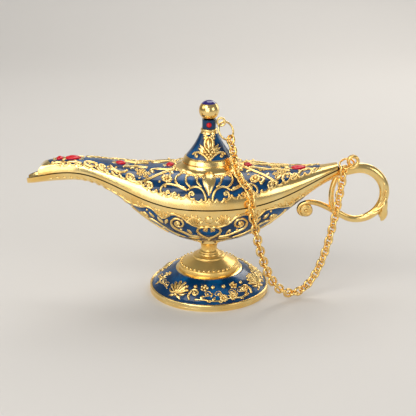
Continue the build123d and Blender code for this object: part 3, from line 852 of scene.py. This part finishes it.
COVER_LINES = (
    ((5.0, 16.8), (5.4, 14.2), (4.7, 11.8), (3.1, 10.2)),
    ((9.2, 18.2), (10.2, 15.0), (9.9, 12.0), (8.0, 9.9)),
    ((12.4, 17.8), (14.4, 15.4), (14.7, 12.4), (13.1, 10.3), (10.2, 9.5)),
    ((1.5, 3.7), (1.7, 6.2), (3.0, 9.0), (5.4, 10.3), (7.8, 9.8), (9.3, 8.5)),
    ((9.3, 8.5), (11.8, 9.2), (14.4, 10.2), (17.9, 10.4), (20.3, 8.9), (21.2, 6.6), (20.4, 5.0)),
)
SPOUT_LINES = (
    ((-15.0, 22.6), (-18.6, 21.4), (-22.4, 20.8), (-25.6, 18.8), (-26.0, 17.0), (-24.4, 16.6)),
    ((-44.6, 9.8), (-42.6, 8.0), (-39.8, 7.6), (-37.4, 9.4), (-36.6, 11.6)),
    ((-27.6, 20.2), (-32.0, 18.4), (-36.0, 15.4), (-38.8, 13.2)),
    ((-40.4, 6.0), (-42.8, 7.4), (-45.0, 6.0), (-44.8, 4.6)),
    ((-49.8, 6.8), (-52.4, 7.4), (-55.0, 6.6), (-55.8, 5.0), (-53.4, 4.2), (-51.0, 5.0)),
    ((-57.0, 4.4), (-59.6, 5.0), (-62.6, 4.8), (-64.0, 4.0)),
    ((-66.0, 4.3), (-68.6, 4.8), (-70.6, 4.2)),
)
SPOUT_SWEEP = ((-15.2, 22.0), (-19.0, 18.8), (-22.6, 15.0), (-26.8, 10.2), (-31.2, 6.6))
HEEL_LINES = (
    ((15.2, 25.2), (19.2, 20.4), (23.9, 15.0), (28.0, 10.0), (30.6, 7.2)),
    ((17.5, 23.6), (22.0, 22.4), (27.0, 19.2), (31.5, 17.2), (36.5, 13.0)),
    ((22.5, 9.2), (24.2, 11.6), (22.8, 13.6)),
    ((32.5, 8.0), (33.4, 10.6), (36.2, 10.2), (36.6, 7.6)),
    ((39.6, 7.0), (41.8, 9.4), (45.4, 8.4), (47.2, 6.0)),
)


COVER_CURLS = ((7.4, 7.0, 1.2), (14.9, 6.2, 0.8), (17.8, 6.4, 0.8))
# Each volute: x, s, radius, turn, hand, sweep, share of the wire, tail.
COVER_VOLUTES = (
    (-34.6, 7.6, 2.1, -100, -1, 1.3, 1.2, SPOUT_SWEEP),
    (-26.2, 7.0, 1.9, 190, -1, 1.3, 1.1, ((-29.6, 5.6),)),
    (-47.6, 6.6, 1.9, -60, -1, 1.3, 1.1, ()),
    (-57.8, 4.2, 1.0, 90, 1, 1.1, 0.9, ()),
    (-65.2, 4.4, 1.1, 90, 1, 1.1, 0.9, ()),
    (27.6, 7.9, 1.9, -60, -1, 1.3, 1.0, ()),
    (37.9, 8.3, 1.4, 200, 1, 1.2, 1.0, ()),
)
COVER_LEAVES = (
    ((-17.8, 20.6), (-15.8, 17.4), 2.1), ((-31.6, 18.2), (-34.0, 20.2), 1.82),
    ((-33.8, 16.6), (-35.4, 13.6), 1.96), ((-50.6, 4.4), (-50.2, 7.6), 1.82),
    ((-61.0, 5.0), (-59.2, 6.0), 1.54), ((18.6, 21.0), (16.4, 18.6), 2.1),
    ((25.6, 13.0), (26.6, 16.4), 1.96), ((33.2, 16.2), (36.6, 17.0), 1.96),
    ((29.4, 8.6), (32.6, 11.6), 1.82), ((45.8, 7.6), (48.6, 6.6), 1.68),
)
COVER_DAISIES = ((-18.7, 13.6), (20.4, 13.2))
COVER_CLUSTERS = ((-29.6, 13.6, 3.5), (31.8, 13.2, 3.4), (30.6, 20.0, 2.4), (24.0, 20.6, 1.8))
COVER_BEADS = (
    (-19.2, 8.8), (-21.8, 10.6), (18.6, 8.6), (22.6, 10.4), (-41.6, 10.2), (-53.4, 5.8), (-45.2, 8.0),
    (40.6, 10.6), (43.8, 10.2), (35.0, 8.8), (-30.8, 9.0), (-17.2, 16.8), (17.4, 16.6),
)
END_BEADS = (-70.4, -69.0, 48.6, 49.8)


class LAMP_OT_cover_scrolls(bpy.types.Operator):
    """Raises the scrolls, feathers and volutes on the cover"""

    bl_idname = "lamp.cover_scrolls"
    bl_label = "Cover scrolls"

    def execute(self, context):
        wire = in_mm(context, "wire")[0]
        work = Relief()
        for chart in hull_charts("cover"):
            work.leaf(chart, (0, 20.6), (0, 6.2), 6.8, 1.0, 0.36, 0.0)
            for hand in (-1, 1):
                for line in COVER_LINES:
                    work.wire(chart, mirror(line, hand), wire, 0.15)
                for x, s, r in COVER_CURLS:
                    tail = mirror(((x + 0.9 * r, s - 1.9), (x + 1.1 * r, s - 0.9)), hand)
                    work.volute(chart, x * hand, s, r, 90 - 90 * hand, hand, 1.05, wire * 0.85, tail)
            for line in SPOUT_LINES + HEEL_LINES:
                work.wire(chart, line, wire * 1.2, 0.2)
            for x, s, r, turn, hand, sweep, share, tail in COVER_VOLUTES:
                work.volute(chart, x, s, r, turn, hand, sweep, wire * share, tail)
            work.leaves(chart, COVER_LEAVES, 0.65)
        work.piece("cover_scrolls", "lid", "cast_gold")
        return {"FINISHED"}


class LAMP_OT_cover_flowers(bpy.types.Operator):
    """Raises the blossoms and beads on the cover"""

    bl_idname = "lamp.cover_flowers"
    bl_label = "Cover flowers"

    def execute(self, context):
        bead = in_mm(context, "bead")[0]
        work = Relief()
        for chart in hull_charts("cover"):
            for x, s in COVER_DAISIES:
                work.daisy(chart, x, s, 2.7, 8)
            for x, s, r in COVER_CLUSTERS:
                work.cluster(chart, x, s, r)
            for x, s in COVER_BEADS:
                work.bead(chart, x, s, bead)
            for x in END_BEADS:
                work.bead(chart, x, girth("cover", x) * 0.62, bead * 1.1)
        work.piece("cover_flowers", "lid", "cast_gold")
        return {"FINISHED"}


STONE_MARGIN = 0.3


class LAMP_OT_bezels(bpy.types.Operator):
    """Sets each red stone of the ridge in a gold bezel with leaves"""

    bl_idname = "lamp.bezels"
    bl_label = "Stone bezels"

    def execute(self, context):
        chart = ridge_chart("cover")
        work = Relief()
        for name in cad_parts:
            if "stone" not in name or name == "neck_stone":
                continue
            low, high = (c * 1000 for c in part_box(name))
            middle, half = (low + high) / 2, (high - low) / 2
            wide, deep = half.x + STONE_MARGIN, half.y + STONE_MARGIN
            work.wire(chart, [(middle.x + u, v) for u, v in oval(wide, deep)], 0.2, rise=0.6)
            stone = Relief()
            stone.gem(chart, middle.x, wide, deep)
            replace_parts(stone.piece(name + "_cut", "lid", "red_glass", "red_stone"), name)
            for hand in (-1, 1):
                for end in (-1, 1):
                    root = (middle.x + end * wide * 0.75, hand * deep * 0.8)
                    tip = (middle.x + end * (wide + 1.9), hand * (deep * 0.55))
                    work.leaf(chart, root, tip, 0.9, 0.3)
        work.piece("stone_bezels", "lid", "cast_gold")
        return {"FINISHED"}


BOWL_HEART = ((0.5, 9.2), (2.4, 8.0), (4.6, 8.9), (5.0, 11.2), (3.0, 14.2), (0.0, 17.0))
BOWL_TAIL = ((4.2, 15.2), (8.2, 14.2), (11.8, 12.2), (15.4, 10.2), (16.6, 7.8))
BOWL_LINES = (
    ((30.4, 8.0), (28.0, 10.2), (24.6, 9.8), (20.6, 11.6), (16.4, 14.6), (10.4, 17.2)),
    ((34.6, 7.6), (32.0, 10.6), (28.0, 13.4), (24.0, 15.8), (18.0, 18.0)),
)
BOWL_LEAVES = (
    ((4.0, 17.2), (9.4, 16.8), 2.2), ((11.0, 17.6), (15.6, 16.8), 1.8), ((2.4, 21.4), (8.0, 21.6), 2.2),
    ((20.2, 9.2), (23.0, 6.0), 1.9), ((24.2, 7.4), (26.6, 4.8), 1.7), ((18.4, 5.6), (19.4, 9.4), 1.8),
    ((9.6, 10.0), (7.4, 13.2), 1.7), ((36.0, 7.6), (38.6, 5.6), 1.5), ((26.0, 15.6), (29.6, 16.2), 1.5),
)
BOWL_BEADS = ((9.6, 5.6), (18.8, 4.0), (22.0, 4.4), (27.4, 4.2), (12.4, 10.6), (20.2, 13.6), (0.0, 19.0))
FRINGE_START, FRINGE_END, FRINGE_GAP = -72.0, 52.0, 10.5


def bowl_fringe(work, chart, bead):
    """Small leaves and beads below the rim, closer together in the middle."""
    x = FRINGE_START
    while x < FRINGE_END:
        deep = girth("bowl", x)
        low = bowl_edge_level(x) if BOWL_FIRST < x < BOWL_LAST else deep * 0.42
        if abs(x) > FRINGE_GAP and low > 2.9:
            work.leaf(chart, (x, 1.5), (x + 0.8, min(low + 0.3, deep * 0.45)), 1.4, 0.45, 0.5)
            work.bead(chart, x + 1.0, low - 0.7, bead * 0.8)
        x += 1.9 if -34 < x < 30 else 3.1


class LAMP_OT_bowl_scrolls(bpy.types.Operator):
    """Raises the fans, heart, scrolls and leaves on the bowl"""

    bl_idname = "lamp.bowl_scrolls"
    bl_label = "Bowl scrolls"

    def execute(self, context):
        wire, bead = in_mm(context, "wire", "bead")
        work = Relief()
        for chart in hull_charts("bowl"):
            line = [(x, bowl_edge_level(x)) for x in np.arange(BOWL_FIRST, BOWL_LAST + 0.1, 1.2)]
            work.wire(chart, line, wire * 0.8)
            work.bead(chart, 0, 4.2, 1.95, 0.45)
            for hand in (-1, 1):
                work.fan(chart, (6.5 * hand, 7.2), -90, 5.4, 140, 6, 1.25)
                work.volute(chart, 1.9 * hand, 10.0, 1.0, 90 + 30 * hand, hand, 1.0, wire * 0.8)
                work.wire(chart, mirror(BOWL_HEART, hand), wire)
                tail = mirror(BOWL_TAIL, hand)
                work.volute(chart, 13.6 * hand, 7.0, 3.0, 90 - 110 * hand, -hand, 1.35, wire * 1.15, tail)
                for line in BOWL_LINES:
                    work.wire(chart, mirror(line, hand), wire, 0.3)
                work.volute(chart, 28.6 * hand, 8.0, 1.5, 90, hand, 1.2, wire)
                work.leaves(chart, BOWL_LEAVES, 0.55, hand)
                for x, s in mirror(BOWL_BEADS, hand):
                    work.bead(chart, x, s, bead)
            bowl_fringe(work, chart, bead)
        work.piece("bowl_scrolls", "lamp", "cast_gold")
        return {"FINISHED"}


def round_enamel(node, body, profile, steps, levels, hem=()):
    """Enamel round a node at levels along its profile, sunk at each end that has no hem."""
    lift = in_mm(bpy.context, "enamel")[0]
    work = Relief()
    rows = []
    for k in range(steps + 1):
        chart = round_chart(node, profile, 360 * k / steps)
        row = []
        for v in levels:
            p, n = chart(0.0, v)
            sunk = v == levels[-1] or (v == levels[0] and not hem)
            row.append(p + n * (-END_SUNK if sunk else lift))
        way = Vector((row[0].x, row[0].y, 0.0)).normalized()
        rows.append([way * r + Vector((0, 0, z)) for r, z in hem] + row)
    work.grid(rows)
    work.piece(node + "_enamel", body, "glassy_enamel", "blue_enamel")


def palmette(work, chart):
    """A shell with a bead and four leaves at its base."""
    work.fan(chart, (0, 2.8), 90, 7.2, 132, 6, 1.0)
    work.bead(chart, 0, 2.7, 1.0, 0.9)
    for hand in (-1, 1):
        work.leaf(chart, (0.5 * hand, 2.4), (3.4 * hand, 1.0), 1.5, 0.6)
        work.leaf(chart, (0.9 * hand, 3.4), (5.0 * hand, 4.3), 1.5, 0.7, 0.5, 0.2, -0.7 * hand)


def vine(work, chart, span, wire):
    """A waving stem with leaves and two blossoms."""
    line = [(span * (k / 10 - 0.5) * 0.6, 1.9 + 0.35 * math.sin(k * 1.3)) for k in range(11)]
    work.wire(chart, line, wire * 0.75)
    for k, (u, v) in enumerate(line[:10]):
        if k not in (0, 5, 6):
            work.leaf(chart, (u, v), (u + 1.9, v + (2.0 if k % 2 else -1.1)), 1.5, 0.6)
    work.daisy(chart, line[5][0], line[5][1] + 0.7, 2.0, 9)
    work.daisy(chart, line[6][0] + 1.9, line[6][1] + 0.7, 2.0, 9)


def sprig(work, chart, wire):
    """An upright stem with four leaves and a blossom."""
    work.wire(chart, [(0, 1.4), (0.5, 4.0), (0, 6.6), (0.6, 9.0)], wire * 0.7)
    for v, hand in ((3.0, 1), (4.4, -1), (5.8, 1), (7.2, -1)):
        work.leaf(chart, (0, v), (2.2 * hand, v + 1.5), 1.4, 0.55)
    work.daisy(chart, 0.5, 9.4, 1.3, 5)


class LAMP_OT_foot_dress(bpy.types.Operator):
    """Lays enamel, a gold rim, palmettes and vines on the foot"""

    bl_idname = "lamp.foot_dress"
    bl_label = "Foot enamel and ornament"

    def execute(self, context):
        wire = in_mm(context, "wire")[0]
        rim = Relief()
        rim.turned(FOOT_RIM, 144)
        rim.piece("foot_rim", "lamp", "polished_gold")
        levels = np.linspace(0.5, slope_length(FOOT_SLOPE) - 0.4, 15)
        round_enamel("foot", "lamp", FOOT_SLOPE, FOOT_STEPS, levels, FOOT_HEM)
        work, waves = Relief(), Relief()
        places = FOOT_PALMETTES + (FOOT_PALMETTES[0] + 360,)
        for first, last in zip(places, places[1:]):
            def at(share, first=first, last=last):
                return round_chart("foot", FOOT_SLOPE, first + (last - first) * share)
            palmette(work, at(0.0))
            for share, hand in FOOT_WAVES:
                tail = [(-2.4 * hand, 3.6)]
                waves.volute(at(share), 0, 5.0, 1.7, 90 - 110 * hand, hand, 1.2, wire * 0.42, tail)
            if last - first < SHORT_SECTOR:
                continue
            for share, size in ((0.19, 0.95), (0.4, 1.0), (0.53, 1.0), (0.78, 0.9)):
                work.bead(at(share), 0, 8.4, size)
            for share in (0.3, 0.66):
                work.daisy(at(share), 0, 8.1, 2.0, 5)
            work.volute(at(0.2), 0, 5.2, 1.9, 160, -1, 1.2, wire, [(-1.6, 1.4), (-2.6, 3.4)])
            work.volute(at(0.78), 0, 4.8, 1.7, 20, 1, 1.2, wire, [(1.6, 1.6), (2.4, 3.4)])
            for share, hand in FOOT_WAVES:
                work.leaf(at(share + 0.035), (0, 3.4), (0.9 * hand, 5.8), 1.1, 0.5)
            vine(work, at(0.5), math.radians(last - first) * VINE_RADIUS, wire)
        for turn in FOOT_SPRIGS:
            sprig(work, round_chart("foot", FOOT_SLOPE, turn), wire)
        work.piece("foot_ornament", "lamp", "cast_gold")
        waves.piece("foot_waves", "lamp", "cast_gold")
        return {"FINISHED"}


class LAMP_OT_handle_dress(bpy.types.Operator):
    """Adds a coiled boss, veins, a broad leaf and a rounded eyelet to the handle"""

    bl_idname = "lamp.handle_dress"
    bl_label = "Handle boss, veins, leaf and eyelet"

    def execute(self, context):
        work = Relief()
        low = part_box("handle_scroll")[0] * 1000
        middle = Vector((low.x + BOSS_INSET, 0.0, BOSS_LEVEL))
        for side in (FRONT, BACK):
            face = flat_chart(middle + Vector((0, side * 0.75, 0)), side)
            work.bead(face, 0, 0, 3.0, 0.10)
            work.volute(face, 0, 0, 2.8, 60, 1, 1.7, 0.42)
            chart = side_chart("handle_loop", side)
            for i in range(5):
                run = []
                for k in range(5):
                    a = math.radians(28 - 17 * i - 8 * k)
                    x = LOOP_MIDDLE[0] + (11.7 - 0.5 * k) * math.cos(a)
                    run.append((x, LOOP_MIDDLE[1] + (12.2 - 0.5 * k) * math.sin(a)))
                work.wire(chart, run, 0.55, 0.5, 1.1)
            low, high = (c * 1000 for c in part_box("handle_leaf"))
            mid = (low.x + high.x) / 2
            blade = flat_chart(Vector((0, SUNK * side, 0)), side)
            work.leaf(blade, (mid + 0.9, high.z + 0.6), (mid - 0.1, low.z), 4.6, 1.5, 0.66, 0.3, -0.6)
            low, high = (c * 1000 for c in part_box("handle_eyelet"))
            hub = (low + high) / 2
            hub.y = (low.y if side == FRONT else high.y) - 0.1 * side
            work.wire(flat_chart(hub, side), oval(EYELET_RADIUS, EYELET_RADIUS), 0.62, rise=0.9)
        work.piece("handle_veins", "lamp", "cast_gold")
        return {"FINISHED"}


class LAMP_OT_stem_dress(bpy.types.Operator):
    """Lays a raised shell on the dome and stem, with a ring of pearls"""

    bl_idname = "lamp.stem_dress"
    bl_label = "Dome shell and pearls"

    def execute(self, context):
        work = Relief()
        work.turned(DOME_PROFILE)
        work.piece("dome_shell", "lamp", "satin_gold")
        pearls = Relief()
        for k in range(PEARLS):
            way = compass(math.tau * k / PEARLS)
            spot = way * PEARL_RING + Vector((0, 0, PEARL_LEVEL))
            slope = (way * 0.5 + Vector((0, 0, 0.87))).normalized()
            pearls.bead(lambda u, v, spot=spot, slope=slope: (spot, slope), 0, 0, PEARL_RADIUS)
        pearls.piece("dome_pearls", "lamp", "polished_gold")
        return {"FINISHED"}


class LAMP_OT_collar_skirt(bpy.types.Operator):
    """Flares the collar out on to the cover with a lobed hem"""

    bl_idname = "lamp.collar_skirt"
    bl_label = "Collar skirt"

    def execute(self, context):
        cover = ridge_chart("cover")
        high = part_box("collar")[1] * 1000
        neck = high.z - COLLAR_LIP
        work = Relief()
        rows = []
        for k in range(181):
            a = math.tau * k / 180
            way = compass(a)
            far = HEM + abs(math.sin(HEM_LOBES / 2 * a)) ** 0.7
            p, n = cover(far * way.x, far * way.y)
            row = []
            for j in range(9):
                t = math.pi / 2 * j / 8
                r = COLLAR_WAIST + (far - COLLAR_WAIST) * (1 - math.cos(t))
                row.append(way * r + Vector((0, 0, neck + (p.z + 0.45 - neck) * math.sin(t))))
            rows.append(row + [p - n * FIELD_SUNK])
        work.grid(rows)
        for k in range(HEM_LOBES):
            spot = compass(math.tau * (k + 0.5) / HEM_LOBES) * LOBE_BEADS
            work.bead(cover, spot.x, spot.y, 0.95, 0.9)
            way = compass(math.tau * k / HEM_LOBES)
            if abs(way.x) >= 0.1:
                work.bead(cover, way.x * NOTCH_BEADS, way.y * NOTCH_BEADS, 0.6, 0.9)
        work.piece("collar_skirt", "lid", "polished_gold")
        return {"FINISHED"}


MEDALLION_BEADS = ((-1.5, 4.7), (0.0, 4.9), (1.5, 4.7), (-0.8, 3.5), (0.8, 3.5), (0.0, 2.3))
CONE_SWAG = ((0.2, 0.7), (1.2, 2.0), (2.8, 3.5), (4.7, 4.3), (6.7, 3.7), (8.6, 2.4))
CONE_LEAVES = (
    ((1.7, 5.4), (4.6, 8.2), 1.9), ((1.9, 4.9), (5.4, 6.4), 1.9), ((1.8, 4.6), (4.4, 4.9), 1.6),
    ((0.5, 12.0), (3.0, 12.4), 1.5), ((1.0, 11.6), (2.9, 10.6), 1.3),
)


class LAMP_OT_cone_dress(bpy.types.Operator):
    """Lays enamel, medallions and swags on the cone"""

    bl_idname = "lamp.cone_dress"
    bl_label = "Cone enamel and ornament"

    def execute(self, context):
        wire = in_mm(context, "wire")[0]
        levels = np.linspace(0.0, slope_length(CONE_SLOPE), 13)
        round_enamel("cone", "lid", CONE_SLOPE, CONE_STEPS, levels)
        work = Relief()
        count = context.scene.lamp_sizes.medallions
        for k in range(count):
            chart = round_chart("cone", CONE_SLOPE, 360 * k / count)
            work.wire(chart, [(u, 8.7 + v) for v, u in oval(3.0, 1.85, 20)], wire * 1.1)
            work.leaf(chart, (0, 5.9), (0, 11.5), 3.0, 0.85, 0.5, 0.0)
            for u, v in MEDALLION_BEADS:
                work.bead(chart, u, v, 0.88, 1.1)
            for hand in (-1, 1):
                work.wire(chart, mirror(CONE_SWAG, hand), wire * 1.1, 0.2)
                work.volute(chart, 5.8 * hand, 2.5, 0.9, 90, -hand, 1.0, wire * 0.8)
                work.leaves(chart, CONE_LEAVES, 0.7, hand)
                work.bead(chart, 3.2 * hand, 6.2, 0.6)
        work.piece("cone_ornament", "lid", "cast_gold")
        return {"FINISHED"}


def islands(mesh):
    """Groups of the mesh's points that faces join, in millimetres."""
    parent = list(range(len(mesh.vertices)))
    spots = {}

    def find(i):
        while parent[i] != i:
            parent[i] = parent[parent[i]]
            i = parent[i]
        return i

    for v in mesh.vertices:
        key = tuple(round(c * 1e6) for c in v.co)
        parent[find(v.index)] = find(spots.setdefault(key, v.index))
    for face in mesh.polygons:
        for i in face.vertices[1:]:
            parent[find(i)] = find(face.vertices[0])
    groups = {}
    for v in mesh.vertices:
        groups.setdefault(find(v.index), []).append(list(v.co * 1000))
    return [np.array(g) for g in groups.values()]


def link(work, group, sizes):
    """A smooth wire link where the solid link is."""
    points = np.unique(group.round(3), axis=0)
    middle = points.mean(0)
    axes = np.linalg.eigh(np.cov((points - middle).T))[1]
    flat, side, along = (Vector(axes[:, i]) for i in range(3))
    wire = sizes.chain_wire * 1000
    bend = (sizes.link_width * 1000 + wire) / 2
    straight = (sizes.link_length * 1000 + wire) / 2 - bend
    path = []
    for i in range(13):
        a = math.pi * (i / 12 - 0.5)
        path.append((straight + bend * math.cos(a), bend * math.sin(a)))
    path += [(-x, -y) for x, y in path]
    rows = []
    for i, (x, y) in enumerate(path):
        before, after = path[i - 1], path[(i + 1) % len(path)]
        way = (along * (after[0] - before[0]) + side * (after[1] - before[1])).normalized()
        out = flat.cross(way)
        p = Vector(middle) + along * x + side * y
        rows.append([p + out * c + flat * s for c, s in oval(wire / 2, wire / 2, 10)[:-1]])
    rows.append(rows[0])
    work.grid(rows, loop=True)


class LAMP_OT_chain(bpy.types.Operator):
    """Makes the chain of round wire links"""

    bl_idname = "lamp.chain"
    bl_label = "Wire chain"

    def execute(self, context):
        sizes = context.scene.lamp_sizes
        hanging = Relief()
        for group in islands(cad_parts["hanging_links"].data):
            link(hanging, group, sizes)
        piece = hanging.piece("hanging_chain", None, "chain_gold")
        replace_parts(piece, "hanging_links")
        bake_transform(piece)
        draped = Relief()
        for group in islands(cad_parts["draped_links"].data):
            link(draped, group, sizes)
        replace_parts(draped.piece("draped_chain", "lid", "chain_gold"), "draped_links")
        return {"FINISHED"}


FLOOR_EDGE, FLOOR_BEND, BEND_RADIUS, WALL_TOP = 5.0, 0.55, 0.35, 1.6
WARM = (1.0, 0.98, 0.95)
# Each light: name, place, size, power, tint.
LIGHTS = (
    ("front_light", (-0.30, -0.90, 0.30), 0.70, 3.6, WARM),
    ("key_light", (-0.42, -0.42, 0.62), 0.42, 2.2, (1.0, 0.97, 0.92)),
    ("fill_light", (0.62, -0.50, 0.34), 0.36, 1.0, WARM),
    ("top_light", (0.05, 0.45, 0.80), 0.50, 2.6, (1.0, 1.0, 1.0)),
    ("left_light", (-0.80, -0.10, 0.55), 0.45, 1.0, WARM),
    ("right_light", (0.75, 0.60, 0.26), 0.45, 1.0, WARM),
    ("rim_light", (0.30, 0.55, 0.42), 0.30, 1.0, (1.0, 0.96, 0.9)),
)
LIGHT_AIM = Vector((0, 0, 0.045))
ROOM_TINT, ROOM_STRENGTH = (0.95, 0.97, 1.0, 1), 0.26
CAMERA_SPOT, CAMERA_AIM = Vector((-0.00047, -0.430, 0.190)), Vector((-0.00047, 0.0, 0.03952))
CAMERA_LENS, CAMERA_SENSOR = 85.65, 36.0


def place(scene, name, data, spot, aim):
    """Puts a light or a camera at the spot, turned to its aim."""
    obj = bpy.data.objects.new(name, data)
    obj.location = spot
    obj.rotation_euler = (aim - Vector(spot)).to_track_quat("-Z", "Y").to_euler()
    scene.collection.objects.link(obj)
    return obj


class LAMP_OT_stage(bpy.types.Operator):
    """Sets the pale floor, the soft lights and the camera"""

    bl_idname = "lamp.stage"
    bl_label = "Stage"

    def execute(self, context):
        scene = context.scene
        scene.view_settings.view_transform = "Standard"
        profile = [(-FLOOR_EDGE, 0.0), (FLOOR_BEND, 0.0)]
        for a in (math.radians(turn) for turn in range(10, 91, 10)):
            profile.append((FLOOR_BEND + BEND_RADIUS * math.sin(a), BEND_RADIUS - BEND_RADIUS * math.cos(a)))
        profile.append((FLOOR_BEND + BEND_RADIUS, WALL_TOP))
        points = [(x, y, z) for y, z in profile for x in (-FLOOR_EDGE, FLOOR_EDGE)]
        faces = [(i, i + 1, i + 3, i + 2) for i in range(0, 2 * len(profile) - 2, 2)]
        mesh = bpy.data.meshes.new("floor")
        mesh.from_pydata(points, [], faces)
        for face in mesh.polygons:
            face.use_smooth = True
        mesh.materials.append(finish("pale_floor"))
        floor = bpy.data.objects.new("floor", mesh)
        scene.collection.objects.link(floor)
        for name, spot, size, power, tint in LIGHTS:
            light = bpy.data.lights.new(name, "AREA")
            light.size = size
            light.energy = power
            light.color = tint
            place(scene, name, light, spot, LIGHT_AIM)
        world = bpy.data.worlds.new("soft_room")
        world.use_nodes = True
        sky = world.node_tree.nodes["Background"]
        sky.inputs["Color"].default_value = ROOM_TINT
        sky.inputs["Strength"].default_value = ROOM_STRENGTH
        scene.world = world
        view = bpy.data.cameras.new("camera")
        view.sensor_width = CAMERA_SENSOR
        view.lens = CAMERA_LENS
        view.clip_start, view.clip_end = 0.01, 20.0
        scene.camera = place(scene, "camera", view, CAMERA_SPOT, CAMERA_AIM)
        return {"FINISHED"}


STEPS = (
    LAMP_OT_gild, LAMP_OT_body_enamel, LAMP_OT_cover_edge, LAMP_OT_cover_scrolls,
    LAMP_OT_cover_flowers, LAMP_OT_bezels, LAMP_OT_bowl_scrolls, LAMP_OT_handle_dress, LAMP_OT_foot_dress,
    LAMP_OT_stem_dress, LAMP_OT_collar_skirt, LAMP_OT_cone_dress, LAMP_OT_chain, LAMP_OT_stage,
)


class LAMP_PT_panel(bpy.types.Panel):
    """Lists the lamp's sizes, colours and steps"""

    bl_idname = "LAMP_PT_panel"
    bl_label = "Oil lamp"
    bl_space_type = "VIEW_3D"
    bl_region_type = "UI"
    bl_category = "Oil lamp"

    def draw(self, context):
        for group in (context.scene.lamp_sizes, context.scene.lamp_colours):
            for key in group.__annotations__:
                self.layout.prop(group, key)
        for step in STEPS:
            self.layout.operator(step.bl_idname)


CLASSES = (LampColours, LampSizes, *STEPS, LAMP_PT_panel)


def register():
    for item in CLASSES:
        bpy.utils.register_class(item)
    bpy.types.Scene.lamp_colours = PointerProperty(type=LampColours)
    bpy.types.Scene.lamp_sizes = PointerProperty(type=LampSizes)


def unregister():
    del bpy.types.Scene.lamp_sizes
    del bpy.types.Scene.lamp_colours
    for item in reversed(CLASSES):
        bpy.utils.unregister_class(item)


def main():
    register()
    for step in STEPS:
        family, name = step.bl_idname.split(".")
        getattr(getattr(bpy.ops, family), name)()


if __name__ == "__main__":
    main()
